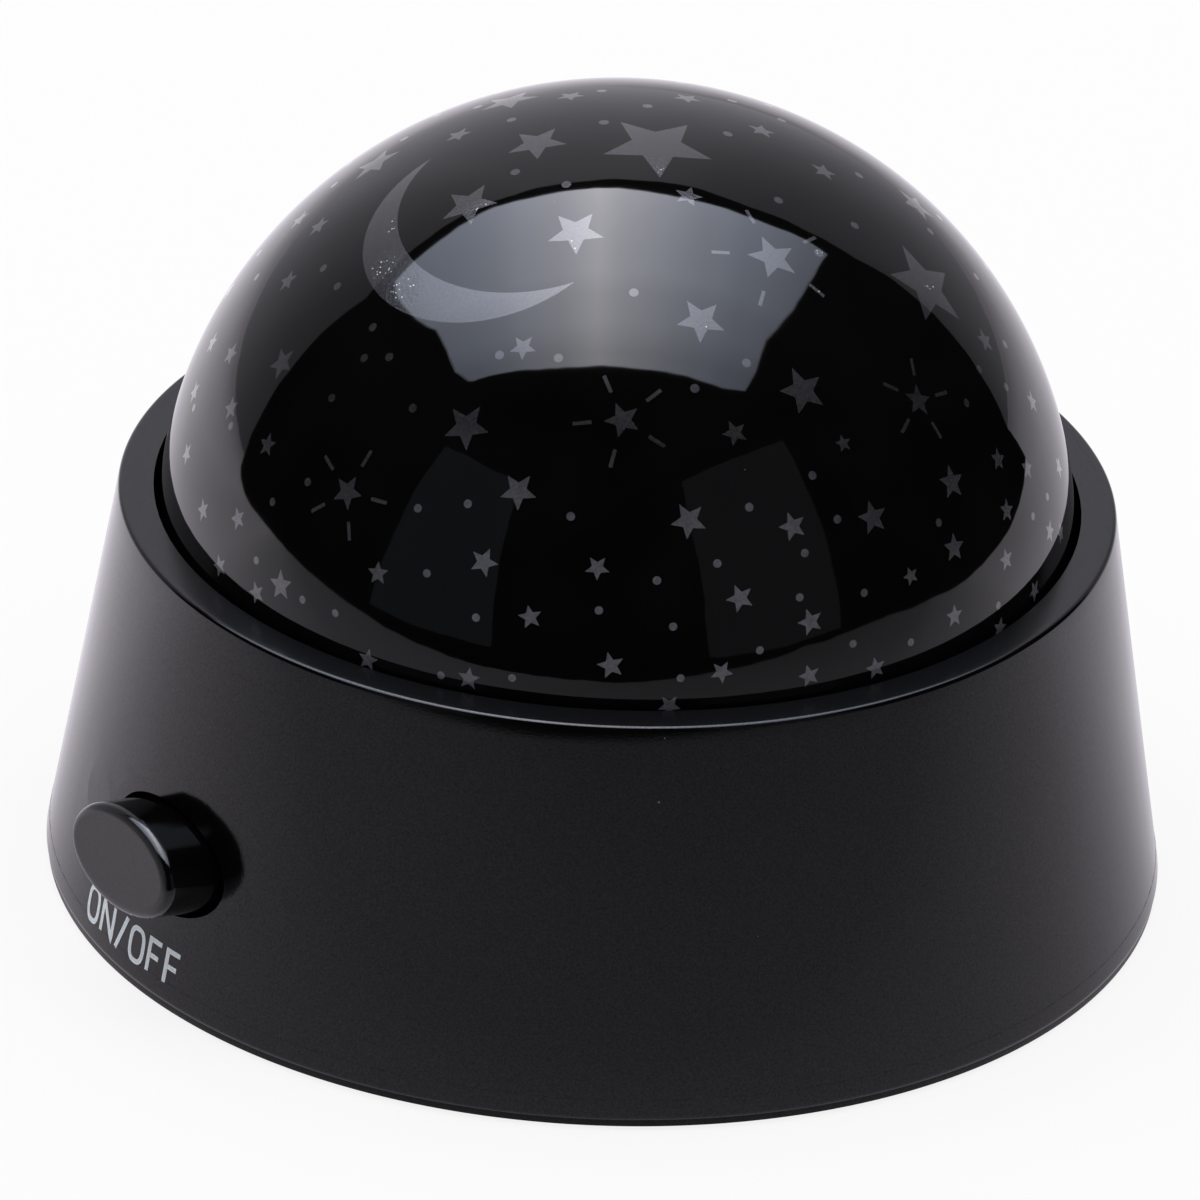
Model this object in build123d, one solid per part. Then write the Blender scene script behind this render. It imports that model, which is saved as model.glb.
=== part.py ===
from build123d import *
import math
import os

os.makedirs("parts", exist_ok=True)

# Star night light projector. Millimetres and degrees.
# +Z is up, the origin is on the dome's axis at the plane the feet stand on, and the front is -Y.

# Dome: a clear hemisphere with a straight skirt, a black mask with star windows, and its ring
DOME_R = 46.5             # outer radius
DOME_WALL = 1.5
DOME_SINK = 5.2           # the sphere's centre lies this far under the rim
MASK_T = 0.4
MASK_GAP = 0.1            # between the mask and the clear dome
RETAINER_W = 2.0
RETAINER_H = 2.8
RETAINER_GAP = 0.05
WINDOW_DEPTH = 3.0        # a window's cutter reaches this far each way from the mask's outer face
STAR_WAIST = 0.45         # a star's inner corners, as a share of its radius

# Windows in the mask, placed by longitude from the front (left is minus) and latitude.
# A third number is a star's turn, clockwise from pointing up, and a fourth is its radius.
# The moon is a round window less another, and their sizes are angles seen from the dome's centre
MOON = (-46.5, 65.5)
MOON_SPAN = 16.8
MOON_BITE = (-42.5, 72)
MOON_BITE_SPAN = 17.5
LARGE_STARS = [
    (27.5, 83.7, 59, 5.7), (72, 48, 28, 4.9), (-127, 70.3, 47, 3.1), (-69.5, 77.4, 37, 3.1),
    (-54, 65, 51, 3.0), (-100, 56, 66, 2.8), (-16.5, 66.5, 18, 2.9), (39, 61, 9, 2.7),
    (15.7, 54.2, 49, 2.5), (31.3, 43.3, 66, 2.5), (-24.3, 38, 18, 2.4), (99.5, 51.5, 30, 2.4),
    (-39.3, 26, 12, 1.8), (0.2, 41.5, 48, 1.85), (-14.2, 31.6, 28, 1.9), (9.9, 29.3, 44, 1.85),
    (52, 37.5, 26, 1.7), (52, 26.7, 11, 1.8), (36.8, 26.3, 71, 1.75), (-17.3, 22.5, 16, 1.5),
    (24.5, 27.4, 60, 1.5), (16.3, 19.6, 52, 1.45), (-46, 11.7, 57, 1.6), (49.2, 19.2, 11, 1.5),
    (25.5, 15.6, 58, 1.4), (0, 11.7, 57, 1.4), (-62.5, 35.2, 15, 1.8), (76, 37.6, 28, 1.4),
]
SMALL_STARS = [
    (18, 39.5, 54), (-56.3, 26.2, 57), (-19, 49.2, 23), (-31.5, 18, 61), (-10.4, 16.8, 56),
    (-2.3, 23.5, 34), (-31, 7.1, 2), (-50, 9.1, 39), (-17.4, 8, 1), (13.7, 10.7, 31), (25, 8.9, 60),
    (34.3, 8, 65), (47.4, 11, 6), (59, 14.2, 2), (71.9, 12.5, 32), (61.5, 19.7, 21),
    (63.3, 25.8, 24), (69.8, 22, 27), (80, 26.8, 39), (-56.8, 16.1, 32), (-65.2, 13.5, 35),
    (-75.2, 16.5, 11), (-58.3, 9.1, 36), (-76.6, 30.3, 56), (-68, 26.3, 34), (-76.8, 42, 27),
    (-85.5, 48.2, 15), (104, 73.6, 31), (-98, 67.8, 4), (147.5, 78, 34), (-140, 77.6, 36),
    (87, 65.8, 13), (24.5, 73, 35), (35.3, 35.9, 0), (41, 18, 59), (7.3, 6.7, 35), (56, 6.3, 20),
    (65, 7.6, 50), (-95.4, 44.6, 10), (-86, 27.4, 40), (-82, 22, 20), (81.3, 17, 60), (76, 10.4, 5),
    (110, 30, 68), (128, 48, 32), (140, 20, 16), (155, 38, 49), (170, 14, 40), (176, 58, 18),
    (-160, 34, 18), (-148, 55, 51), (-142, 16, 18), (-120, 42, 66), (-112, 22, 54), (-98, 30, 22),
    (98, 14, 40), (122, 10, 60), (-172, 22, 66), (-128, 8, 24), (-90, 12, 66),
]
SMALL_STAR_R = 1.15

# Housing: a conical shell with a flat rim ring, a well for the dome and a ledge in the well
HOUSING_H = 40.6
FLARE = 6.7               # the lower edge is this much wider than the rim, in radius
RING_W = 3.5              # flat ring between the dome and the rim's edge
DOME_GAP = 0.3            # between the dome and the well
WALL = 2.4
RIM_ROUND = 0.5
LOWER_ROUND = 0.8
WELL_WALL = 1.5
WELL_DEPTH = 13.2
LEDGE_W = 10.8
LEDGE_T = 2.0
POCKET_TOP = 0.3          # width of the pocket between well and wall at its narrow end

# Screw bosses in the housing
BOSS_R = 3.5
BOSS_IN = 4.6             # the bosses' centres lie this far inside the wall at the lower edge's height
RIB_T = 1.6
SMALL_BOSS_R = 3.0
DECK_BOSS_H = 6.0
PILOT_GAP = 0.05          # a pilot hole is this much wider than the screw, in radius

# Screws
SCREW_R = 1.3
SCREW_HEAD_R = 2.6
SCREW_HEAD_H = 1.6
CROSS_W = 0.6
CROSS_DEPTH = 0.9
COVER_SCREW_L = 10.0
DECK_SCREW_L = 7.0
BOARD_SCREW_L = 4.6
SWITCH_SCREW_L = 6.0
HOLE_GAP = 0.25           # a through hole is this much wider than the screw, in radius

# Bottom cover with its feet
FOOT_PROUD = 0.8          # the feet hold the housing this far off the ground
FOOT_R = 5.0
FOOT_H = 2.0
FOOT_IN = 12.0            # the feet's centres lie this far inside the lower edge
COVER_INSET = 0.4         # the cover lies this far above the housing's lower edge
COVER_T = 2.2
COVER_GAP = 0.2
PAD_R = 5.0
PAD_FLOOR = 1.8           # plastic under a cover screw's head
HEAD_SINK = 0.4           # a cover screw's head lies this deep in its counterbore

# Three AAA cells side by side along Y, and their box on the cover
CELL_R = 5.25
CELL_L = 44.5
NUB_R = 1.9
NUB_L = 0.8
CELL_GAP = 0.5            # between two cells
CELL_MARGIN = 0.6         # between a cell and the box's side
CELL_CLEAR = 0.3          # between the cells and the door under them
CELL_HEAD = 0.4           # between the cells and the box's roof
BOX_WALL = 1.6
BOX_X = 4.0               # the box's middle, set over to leave room for the switch
BOX_Y = 4.0
CONTACT_T = 0.4
CONTACT_W = 7.0
CONTACT_DROP = 2.4        # a contact reaches this far below the cells' axes
CONTACT_RISE = 4.4
TAIL_W = 2.0
TAIL_RISE = 2.8           # a solder tail stands this far above the box
TAIL_GAP = 0.3
CELL_SPRING_L = 4.0
CELL_SPRING_R = 3.0
CELL_SPRING_TURNS = 4
SPRING_WIRE_R = 0.3

# Battery door: two tabs at its front end and a screw in the tongue at its rear end
DOOR_T = 2.0
DOOR_GAP = 0.3
TAB_W = 4.0
TAB_T = 1.0
TAB_REACH = 3.0
TAB_LIFT = 0.1            # between a tab and the cover that it hooks over
TAB_SLOT_GAP = 0.5
TAB_SLOT_H = 2.7
TONGUE_W = 10.0
TONGUE_L = 8.0
DOOR_SCREW_R = 1.2
DOOR_HEAD_R = 2.4
DOOR_HEAD_H = 1.2
DOOR_SCREW_L = 3.9
DOOR_HOLE_GAP = 0.3       # room for the screw to swing out with the door
DOOR_BOSS_H = 5.6

# Oval push button in the wall, left of the front
BUTTON_TURN = 53.0        # from the front towards -X
BUTTON_RISE = 14.7        # its axis meets the wall this far above the housing's lower edge
BUTTON_A = 8.6            # half of the cap's width
BUTTON_B = 5.1            # half of the cap's height
BUTTON_PROUD = 5.6
BUTTON_ROUND = 1.1
BUTTON_GAP_A = 0.8
BUTTON_GAP_B = 0.45
SLEEVE_WALL = 1.5
SLEEVE_L = 4.2
FLANGE_T = 1.2
FLANGE_LIP = 1.2          # the flange is this much wider than the sleeve's hole
FLANGE_GAP = 0.05
BUTTON_TRAVEL = 2.0
STEM_R = 2.0
STEM_L = 3.9
BUTTON_SPRING_R = 3.2
BUTTON_SPRING_TURNS = 5

# Latching switch behind the button, on its bracket
PLUNGER_R = 1.5
PLUNGER_L = 4.6
PLUNGER_GAP = 0.1
STEM_CLEAR = 0.6          # left between the stem and the switch when the button is pressed
SWITCH_W = 9.0
SWITCH_L = 8.0
COLLAR_LIP = 1.2
COLLAR_T = 1.0
PIN_R = 0.4
PIN_L = 2.5
PIN_SPREAD = 2.5
BRACKET_T = 1.6
BRACKET_H = 10.0
BRACKET_GAP = 0.1
BRACKET_SPREAD = 14.5     # the bracket's screws lie this far from the button's axis
BRACKET_END = 4.0

# Deck with its lamp turret, and the board under the turret's roof
DECK_T = 1.8
DECK_GAP = 0.5            # between the deck and the dome's ring
DECK_SCREW_IN = 3.2       # the deck's screws lie this far inside its edge
TURRET_R = 13.0
TURRET_H = 6.0
TURRET_WALL = 1.5
BOARD_T = 1.6
BOARD_GAP = 0.3
BOARD_DROP = 2.7          # the board's top lies this far under the turret's roof
BOARD_BOSS_R = 2.4
BOARD_SCREW_PCR = 7.6
LED_R = 2.5
LED_H = 8.6
LED_FLANGE_R = 2.9
LED_FLANGE_T = 1.0
LED_GAP = 0.2
LED_PCR = 7.0
RESISTOR_W = 3.2
RESISTOR_D = 1.6
RESISTOR_H = 0.6
RESISTOR_PITCH = 3.0
RESISTOR_FRONT = 6.0      # the row starts this far in front of the middle

# Hook-up wire
WIRE_R = 0.6
WIRE_LIFT = 1.2           # the wires run this far above the battery box
TAIL_LEAD = 8.0           # a wire leaves a solder tail straight for this far
PIN_LEAD = 5.0            # and a switch pin for this far
SLACK = 2.0               # a wire's free corners lie this far off the straight way
BEND_SHARE = 0.45         # an arc takes up this share of the shorter run beside it

# Levels, radii and the wall's slope, worked out from the sizes above
LOWER_Z = FOOT_PROUD
RIM_Z = LOWER_Z + HOUSING_H
DOME_Z = RIM_Z - DOME_SINK
WELL_R = DOME_R + DOME_GAP
RIM_R = WELL_R + RING_W
BASE_R = RIM_R + FLARE
LEDGE_Z = RIM_Z - WELL_DEPTH
LEDGE_UNDER = LEDGE_Z - LEDGE_T
SLOPE = math.degrees(math.atan2(FLARE, HOUSING_H))
WALL_ACROSS = WALL / math.cos(math.radians(SLOPE))
COVER_Z = LOWER_Z + COVER_INSET
COVER_TOP = COVER_Z + COVER_T
PAD_TOP = COVER_Z + HEAD_SINK + SCREW_HEAD_H + PAD_FLOOR
BOSS_PCR = BASE_R - WALL_ACROSS - BOSS_IN - BOSS_R
FOOT_PCR = BASE_R - FOOT_IN

CELL_PITCH = 2 * CELL_R + CELL_GAP
CELL_Z = COVER_Z + DOOR_T + CELL_CLEAR + CELL_R
BOX_W = 2 * CELL_PITCH + 2 * CELL_R + 2 * CELL_MARGIN
BOX_L = CELL_L + CELL_SPRING_L + 2 * CONTACT_T
BOX_ROOF = CELL_Z + CELL_R + CELL_HEAD
BOX_TOP = BOX_ROOF + BOX_WALL
BOX_FRONT = BOX_Y - BOX_L / 2
BOX_REAR = BOX_Y + BOX_L / 2
TONGUE_Y = BOX_REAR + TONGUE_L / 2

MASK_R = DOME_R - DOME_WALL - MASK_GAP
RETAINER_R = DOME_R - DOME_WALL - RETAINER_GAP
DECK_R = RETAINER_R - RETAINER_W - DECK_GAP
DECK_TOP = LEDGE_Z + DECK_T
DECK_PCR = DECK_R - DECK_SCREW_IN
TURRET_TOP = DECK_TOP + TURRET_H
BOARD_TOP = TURRET_TOP - TURRET_WALL - BOARD_DROP
BOARD_Z = BOARD_TOP - BOARD_T

BOSS_TURNS = [0, 90, 180, 270]
FOOT_TURNS = [45, 135, 225, 315]
DECK_TURNS = [45, 165, 285]
LED_TURNS = [90, 210, 330]
BOARD_SCREW_TURNS = [30, 150]


def wall_r(z):
    """Outer radius of the housing's wall at height z."""
    return BASE_R - (z - LOWER_Z) * FLARE / HOUSING_H


def around(radius, turn, z=0):
    """Place at a radius and a turn about the dome's axis."""
    return Rot(0, 0, turn) * Pos(radius, 0, z)


# The button's own plane: origin on the wall's outer face, +Z outwards along the wall's normal
BUTTON_Z = LOWER_Z + BUTTON_RISE
BUTTON_SIDE = math.radians(BUTTON_TURN)
BUTTON_OUT = Vector(-math.sin(BUTTON_SIDE), -math.cos(BUTTON_SIDE), 0)
BUTTON_NORMAL = BUTTON_OUT * math.cos(math.radians(SLOPE)) + Vector(0, 0, math.sin(math.radians(SLOPE)))
BUTTON_PLANE = Plane(
    origin=BUTTON_OUT * wall_r(BUTTON_Z) + Vector(0, 0, BUTTON_Z),
    x_dir=Vector(-BUTTON_OUT.Y, BUTTON_OUT.X, 0),
    z_dir=BUTTON_NORMAL,
)
BUTTON_PLACE = BUTTON_PLANE.location
FLANGE_FACE = -SLEEVE_L - FLANGE_GAP
FLANGE_BACK = FLANGE_FACE - FLANGE_T
STEM_END = FLANGE_BACK - STEM_L
SWITCH_FACE = STEM_END - BUTTON_TRAVEL - STEM_CLEAR
BRACKET_FACE = SWITCH_FACE - COLLAR_T
BRACKET_BACK = BRACKET_FACE - BRACKET_T
SWITCH_BACK = SWITCH_FACE - SWITCH_L


def upright(solid_radius, height, z):
    """Cylinder standing on height z."""
    return Pos(0, 0, z + height / 2) * Cylinder(solid_radius, height)


def block(x_size, y_size, z_size, x, y, z):
    """Box centred on x and y, standing on z."""
    return Pos(x, y, z + z_size / 2) * Box(x_size, y_size, z_size)


def oval(half_width, half_height, start, end):
    """Oval column in the button's plane, from start out to end."""
    return Pos(0, 0, start) * extrude(Ellipse(half_width, half_height), end - start)


def group(solids):
    """Several separate solids of one node."""
    return Compound(children=list(solids))


def screw(head_r, head_h, shank_r, length):
    """Pan-head screw: its head hangs under z = 0 and its shank points up."""
    head = upright(head_r, head_h, -head_h)
    head = fillet(head.edges().sort_by(Axis.Z)[0], head_h / 2)
    shank = upright(shank_r, length, 0)
    shank = chamfer(shank.edges().sort_by(Axis.Z)[-1], shank_r / 3)
    cross = block(head_r * 1.2, CROSS_W, CROSS_DEPTH, 0, 0, -head_h)
    cross += block(CROSS_W, head_r * 1.2, CROSS_DEPTH, 0, 0, -head_h)
    return head + shank - cross


def small_screw(length):
    """Screw of the size used all over the lamp, but for the battery door."""
    return screw(SCREW_HEAD_R, SCREW_HEAD_H, SCREW_R, length)


def coil(radius, length, turns):
    """Compression spring standing on z = 0."""
    rise = length - 2 * SPRING_WIRE_R
    path = Pos(0, 0, SPRING_WIRE_R) * Helix(pitch=rise / turns, height=rise, radius=radius)
    section = Plane(origin=path @ 0, z_dir=path % 0) * Circle(SPRING_WIRE_R)
    return sweep(section, path=path)


def wire(points):
    """Hook-up wire through the points, with each bend as wide as its runs allow."""
    points = [Vector(point) for point in points]
    radii = []
    for before, corner, after in zip(points, points[1:], points[2:]):
        shorter = min((corner - before).length, (after - corner).length)
        turn = math.radians((corner - before).get_angle(after - corner))
        radii.append(BEND_SHARE * shorter / math.tan(turn / 2))
    path = FilletPolyline(*points, radius=radii)
    section = Plane(origin=path @ 0, z_dir=path % 0) * Circle(WIRE_R)
    return sweep(section, path=path)


def housing_shell():
    """Wall, rim ring, well and ledge in one turned section."""
    pocket_r = WELL_R + WELL_WALL
    pocket_z = RIM_Z - (pocket_r + POCKET_TOP + WALL_ACROSS - RIM_R) * HOUSING_H / FLARE
    section = Polyline(
        (BASE_R, LOWER_Z),
        (RIM_R, RIM_Z),
        (WELL_R, RIM_Z),
        (WELL_R, LEDGE_Z),
        (WELL_R - LEDGE_W, LEDGE_Z),
        (WELL_R - LEDGE_W, LEDGE_UNDER),
        (pocket_r, LEDGE_UNDER),
        (pocket_r, pocket_z),
        (pocket_r + POCKET_TOP, pocket_z),
        (BASE_R - WALL_ACROSS, LOWER_Z),
        close=True,
    )
    face = make_face(section)
    rim_edge = face.vertices().sort_by_distance((RIM_R, RIM_Z))[0]
    face = fillet(rim_edge, RIM_ROUND)
    lower_edge = face.vertices().sort_by_distance((BASE_R, LOWER_Z))[0]
    face = fillet(lower_edge, LOWER_ROUND)
    return revolve(Plane.XZ * face, Axis.Z)


def housing():
    """Outer shell with its screw bosses, the button's sleeve and the bracket's bosses."""
    envelope = Pos(0, 0, LOWER_Z) * extrude(Circle(BASE_R), HOUSING_H, taper=SLOPE)
    bosses = []
    pilots = []
    for turn in BOSS_TURNS:
        bosses.append(around(BOSS_PCR, turn) * upright(BOSS_R, LEDGE_Z - PAD_TOP, PAD_TOP))
        rib = block(BASE_R - BOSS_PCR, RIB_T, LEDGE_UNDER - PAD_TOP, (BASE_R - BOSS_PCR) / 2, 0, PAD_TOP)
        bosses.append(around(BOSS_PCR, turn) * rib)
        pilot_l = COVER_SCREW_L - PAD_FLOOR + SCREW_R
        pilots.append(around(BOSS_PCR, turn) * upright(SCREW_R + PILOT_GAP, pilot_l, PAD_TOP))
    for turn in DECK_TURNS:
        low = LEDGE_UNDER - DECK_BOSS_H
        bosses.append(around(DECK_PCR, turn) * upright(SMALL_BOSS_R, LEDGE_Z - low, low))
        pilots.append(around(DECK_PCR, turn) * upright(SCREW_R + PILOT_GAP, LEDGE_Z - low, low))
    sleeve_a = BUTTON_A + BUTTON_GAP_A + SLEEVE_WALL
    sleeve_b = BUTTON_B + BUTTON_GAP_B + SLEEVE_WALL
    bosses.append(BUTTON_PLACE * oval(sleeve_a, sleeve_b, -SLEEVE_L, WALL))
    pilots.append(BUTTON_PLACE * oval(BUTTON_A + BUTTON_GAP_A, BUTTON_B + BUTTON_GAP_B, -SLEEVE_L, WALL))
    for side in (-1, 1):
        post = upright(SMALL_BOSS_R, -BRACKET_FACE, BRACKET_FACE)
        bosses.append(BUTTON_PLACE * Pos(side * BRACKET_SPREAD, 0, 0) * post)
        pilot = upright(SCREW_R + PILOT_GAP, SWITCH_SCREW_L - BRACKET_T + SCREW_R, BRACKET_FACE)
        pilots.append(BUTTON_PLACE * Pos(side * BRACKET_SPREAD, 0, 0) * pilot)
    shell = housing_shell()
    for boss in bosses:
        shell += boss & envelope
    for pilot in pilots:
        shell -= pilot
    return shell


def dome_section(outer_r, wall, foot_z):
    """Half section of a dome on its centre height, with a straight skirt down to foot_z."""
    inner_r = outer_r - wall
    outline = Line((0, DOME_Z + inner_r), (0, DOME_Z + outer_r))
    outline += RadiusArc((0, DOME_Z + outer_r), (outer_r, DOME_Z), outer_r)
    outline += Line((outer_r, DOME_Z), (outer_r, foot_z))
    outline += Line((outer_r, foot_z), (inner_r, foot_z))
    outline += Line((inner_r, foot_z), (inner_r, DOME_Z))
    outline += RadiusArc((inner_r, DOME_Z), (0, DOME_Z + inner_r), -inner_r)
    return Plane.XZ * make_face(outline)


def dome_shell():
    """Clear outer dome, which stands on the ledge and lifts out of the well."""
    return revolve(dome_section(DOME_R, DOME_WALL, LEDGE_Z), Axis.Z)


def window_plane(longitude, latitude):
    """Plane on the mask's outer face, with +Z outwards and +X to the right."""
    turn = math.radians(longitude)
    rise = math.radians(latitude)
    out = Vector(math.sin(turn) * math.cos(rise), -math.cos(turn) * math.cos(rise), math.sin(rise))
    right = Vector(math.cos(turn), math.sin(turn), 0)
    return Plane(origin=out * MASK_R + Vector(0, 0, DOME_Z), x_dir=right, z_dir=out)


def window(longitude, latitude, outline):
    """Cutter for one window of the given outline."""
    cutter = Pos(0, 0, -WINDOW_DEPTH) * extrude(outline, 2 * WINDOW_DEPTH)
    return window_plane(longitude, latitude).location * cutter


def round_window(longitude, latitude, span):
    """Cutter for a round window whose radius is the angle span, seen from the dome's centre."""
    return window(longitude, latitude, Circle(MASK_R * math.sin(math.radians(span))))


def star(radius, turn):
    """Five-pointed star, turned clockwise from pointing up."""
    points = []
    for corner in range(10):
        reach = radius if corner % 2 == 0 else radius * STAR_WAIST
        angle = math.radians(turn + 36 * corner)
        points.append((reach * math.sin(angle), reach * math.cos(angle)))
    return make_face(Polyline(*points, close=True))


def star_mask():
    """Black inner dome on the retainer, with the windows that the light shines through."""
    mask = revolve(dome_section(MASK_R, MASK_T, LEDGE_Z + RETAINER_H), Axis.Z)
    cutters = [round_window(*MOON, MOON_SPAN) - round_window(*MOON_BITE, MOON_BITE_SPAN)]
    for longitude, latitude, turn, radius in LARGE_STARS:
        cutters.append(window(longitude, latitude, star(radius, turn)))
    for longitude, latitude, turn in SMALL_STARS:
        cutters.append(window(longitude, latitude, star(SMALL_STAR_R, turn)))
    return mask - cutters


def mask_retainer():
    """Ring pressed into the dome's skirt, which holds the mask up."""
    ring = upright(RETAINER_R, RETAINER_H, LEDGE_Z)
    return ring - upright(RETAINER_R - RETAINER_W, RETAINER_H, LEDGE_Z)


def deck_plate():
    """Round plate over the ledge's hole, with the lamp turret in its middle."""
    deck = upright(DECK_R, DECK_T, LEDGE_Z) + upright(TURRET_R, TURRET_H, DECK_TOP)
    inner_r = TURRET_R - TURRET_WALL
    deck -= upright(inner_r, DECK_T + TURRET_H - TURRET_WALL, LEDGE_Z)
    for turn in BOARD_SCREW_TURNS:
        deck += around(BOARD_SCREW_PCR, turn) * upright(BOARD_BOSS_R, BOARD_DROP, BOARD_TOP)
        pilot = upright(SCREW_R + PILOT_GAP, BOARD_SCREW_L - BOARD_T + HOLE_GAP, BOARD_TOP)
        deck -= around(BOARD_SCREW_PCR, turn) * pilot
    deck -= upright(LED_R + LED_GAP, TURRET_H, DECK_TOP)
    for turn in LED_TURNS:
        deck -= around(LED_PCR, turn) * upright(LED_R + LED_GAP, TURRET_H, DECK_TOP)
    for turn in DECK_TURNS:
        deck -= around(DECK_PCR, turn) * upright(SCREW_R + HOLE_GAP, DECK_T, LEDGE_Z)
    edge = deck.edges().filter_by(GeomType.CIRCLE).sort_by_distance((TURRET_R, 0, TURRET_TOP))[0]
    return fillet(edge, TURRET_WALL / 2)


def deck_screws():
    """Three screws down through the deck into the ledge's bosses."""
    down = Rot(180, 0, 0) * small_screw(DECK_SCREW_L)
    return group(around(DECK_PCR, turn, DECK_TOP) * down for turn in DECK_TURNS)


def led_board():
    """Round circuit board under the turret's roof."""
    board = upright(TURRET_R - TURRET_WALL - BOARD_GAP, BOARD_T, BOARD_Z)
    for turn in BOARD_SCREW_TURNS:
        board -= around(BOARD_SCREW_PCR, turn) * upright(SCREW_R + HOLE_GAP, BOARD_T, BOARD_Z)
    return board


def board_screws():
    """Two screws up through the board into the turret's bosses."""
    up = small_screw(BOARD_SCREW_L)
    return group(around(BOARD_SCREW_PCR, turn, BOARD_Z) * up for turn in BOARD_SCREW_TURNS)


def led():
    """Round 5 mm lamp on z = 0, with its flange and domed tip."""
    bulb = upright(LED_R, LED_H - LED_R, 0) + Pos(0, 0, LED_H - LED_R) * Sphere(LED_R)
    bulb -= upright(LED_R, LED_R, -LED_R)
    return bulb + upright(LED_FLANGE_R, LED_FLANGE_T, 0)


def resistors():
    """Flat chip resistors on the board's underside."""
    chip = block(RESISTOR_W, RESISTOR_D, RESISTOR_H, 0, 0, BOARD_Z - RESISTOR_H)
    return group(Pos(0, place * RESISTOR_PITCH - RESISTOR_FRONT, 0) * chip for place in range(3))


def star_button():
    """Oval cap with the flange that keeps it in its sleeve and the stem that works the switch."""
    cap = oval(BUTTON_A, BUTTON_B, FLANGE_BACK, BUTTON_PROUD)
    front = cap.edges().sort_by(Axis.Z)[-1]
    cap = fillet(front, BUTTON_ROUND)
    flange_a = BUTTON_A + BUTTON_GAP_A + FLANGE_LIP
    flange_b = BUTTON_B + BUTTON_GAP_B + FLANGE_LIP
    cap += oval(flange_a, flange_b, FLANGE_BACK, FLANGE_FACE)
    cap += upright(STEM_R, STEM_L, STEM_END)
    return BUTTON_PLACE * cap


def button_spring():
    """Return spring between the button's flange and the switch."""
    length = FLANGE_BACK - SWITCH_FACE
    return BUTTON_PLACE * Pos(0, 0, SWITCH_FACE) * coil(BUTTON_SPRING_R, length, BUTTON_SPRING_TURNS)


def switch_plunger():
    """Plunger of the switch, which the stem pushes."""
    return BUTTON_PLACE * upright(PLUNGER_R, PLUNGER_L, STEM_END - PLUNGER_L)


def push_switch():
    """Latching switch with its front collar, plunger hole and two pins."""
    collar = SWITCH_W + 2 * COLLAR_LIP
    body = block(SWITCH_W, SWITCH_W, SWITCH_L, 0, 0, SWITCH_BACK)
    body += block(collar, collar, COLLAR_T, 0, 0, BRACKET_FACE)
    hole_end = STEM_END - PLUNGER_L - BUTTON_TRAVEL - PLUNGER_R
    body -= upright(PLUNGER_R + PLUNGER_GAP, SWITCH_FACE - hole_end, hole_end)
    for side in (-1, 1):
        body += Pos(side * PIN_SPREAD, 0, 0) * upright(PIN_R, PIN_L, SWITCH_BACK - PIN_L)
    return BUTTON_PLACE * body


def switch_bracket():
    """Flat bracket across the two wall bosses, with a square hole for the switch."""
    width = 2 * (BRACKET_SPREAD + BRACKET_END)
    bracket = block(width, BRACKET_H, BRACKET_T, 0, 0, BRACKET_BACK)
    bracket = fillet(bracket.edges().filter_by(Axis.Z), BRACKET_END / 2)
    hole = SWITCH_W + 2 * BRACKET_GAP
    bracket -= block(hole, hole, BRACKET_T, 0, 0, BRACKET_BACK)
    for side in (-1, 1):
        bracket -= Pos(side * BRACKET_SPREAD, 0, 0) * upright(SCREW_R + HOLE_GAP, BRACKET_T, BRACKET_BACK)
    return BUTTON_PLACE * bracket


def switch_screws():
    """Two screws outwards through the bracket into the wall bosses."""
    places = [Pos(side * BRACKET_SPREAD, 0, BRACKET_BACK) for side in (-1, 1)]
    return group(BUTTON_PLACE * place * small_screw(SWITCH_SCREW_L) for place in places)


def box_room(z, height, grow=0.0):
    """The battery box's room in plan, from z up."""
    return block(BOX_W + 2 * grow, BOX_L + 2 * grow, height, BOX_X, BOX_Y, z)


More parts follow.
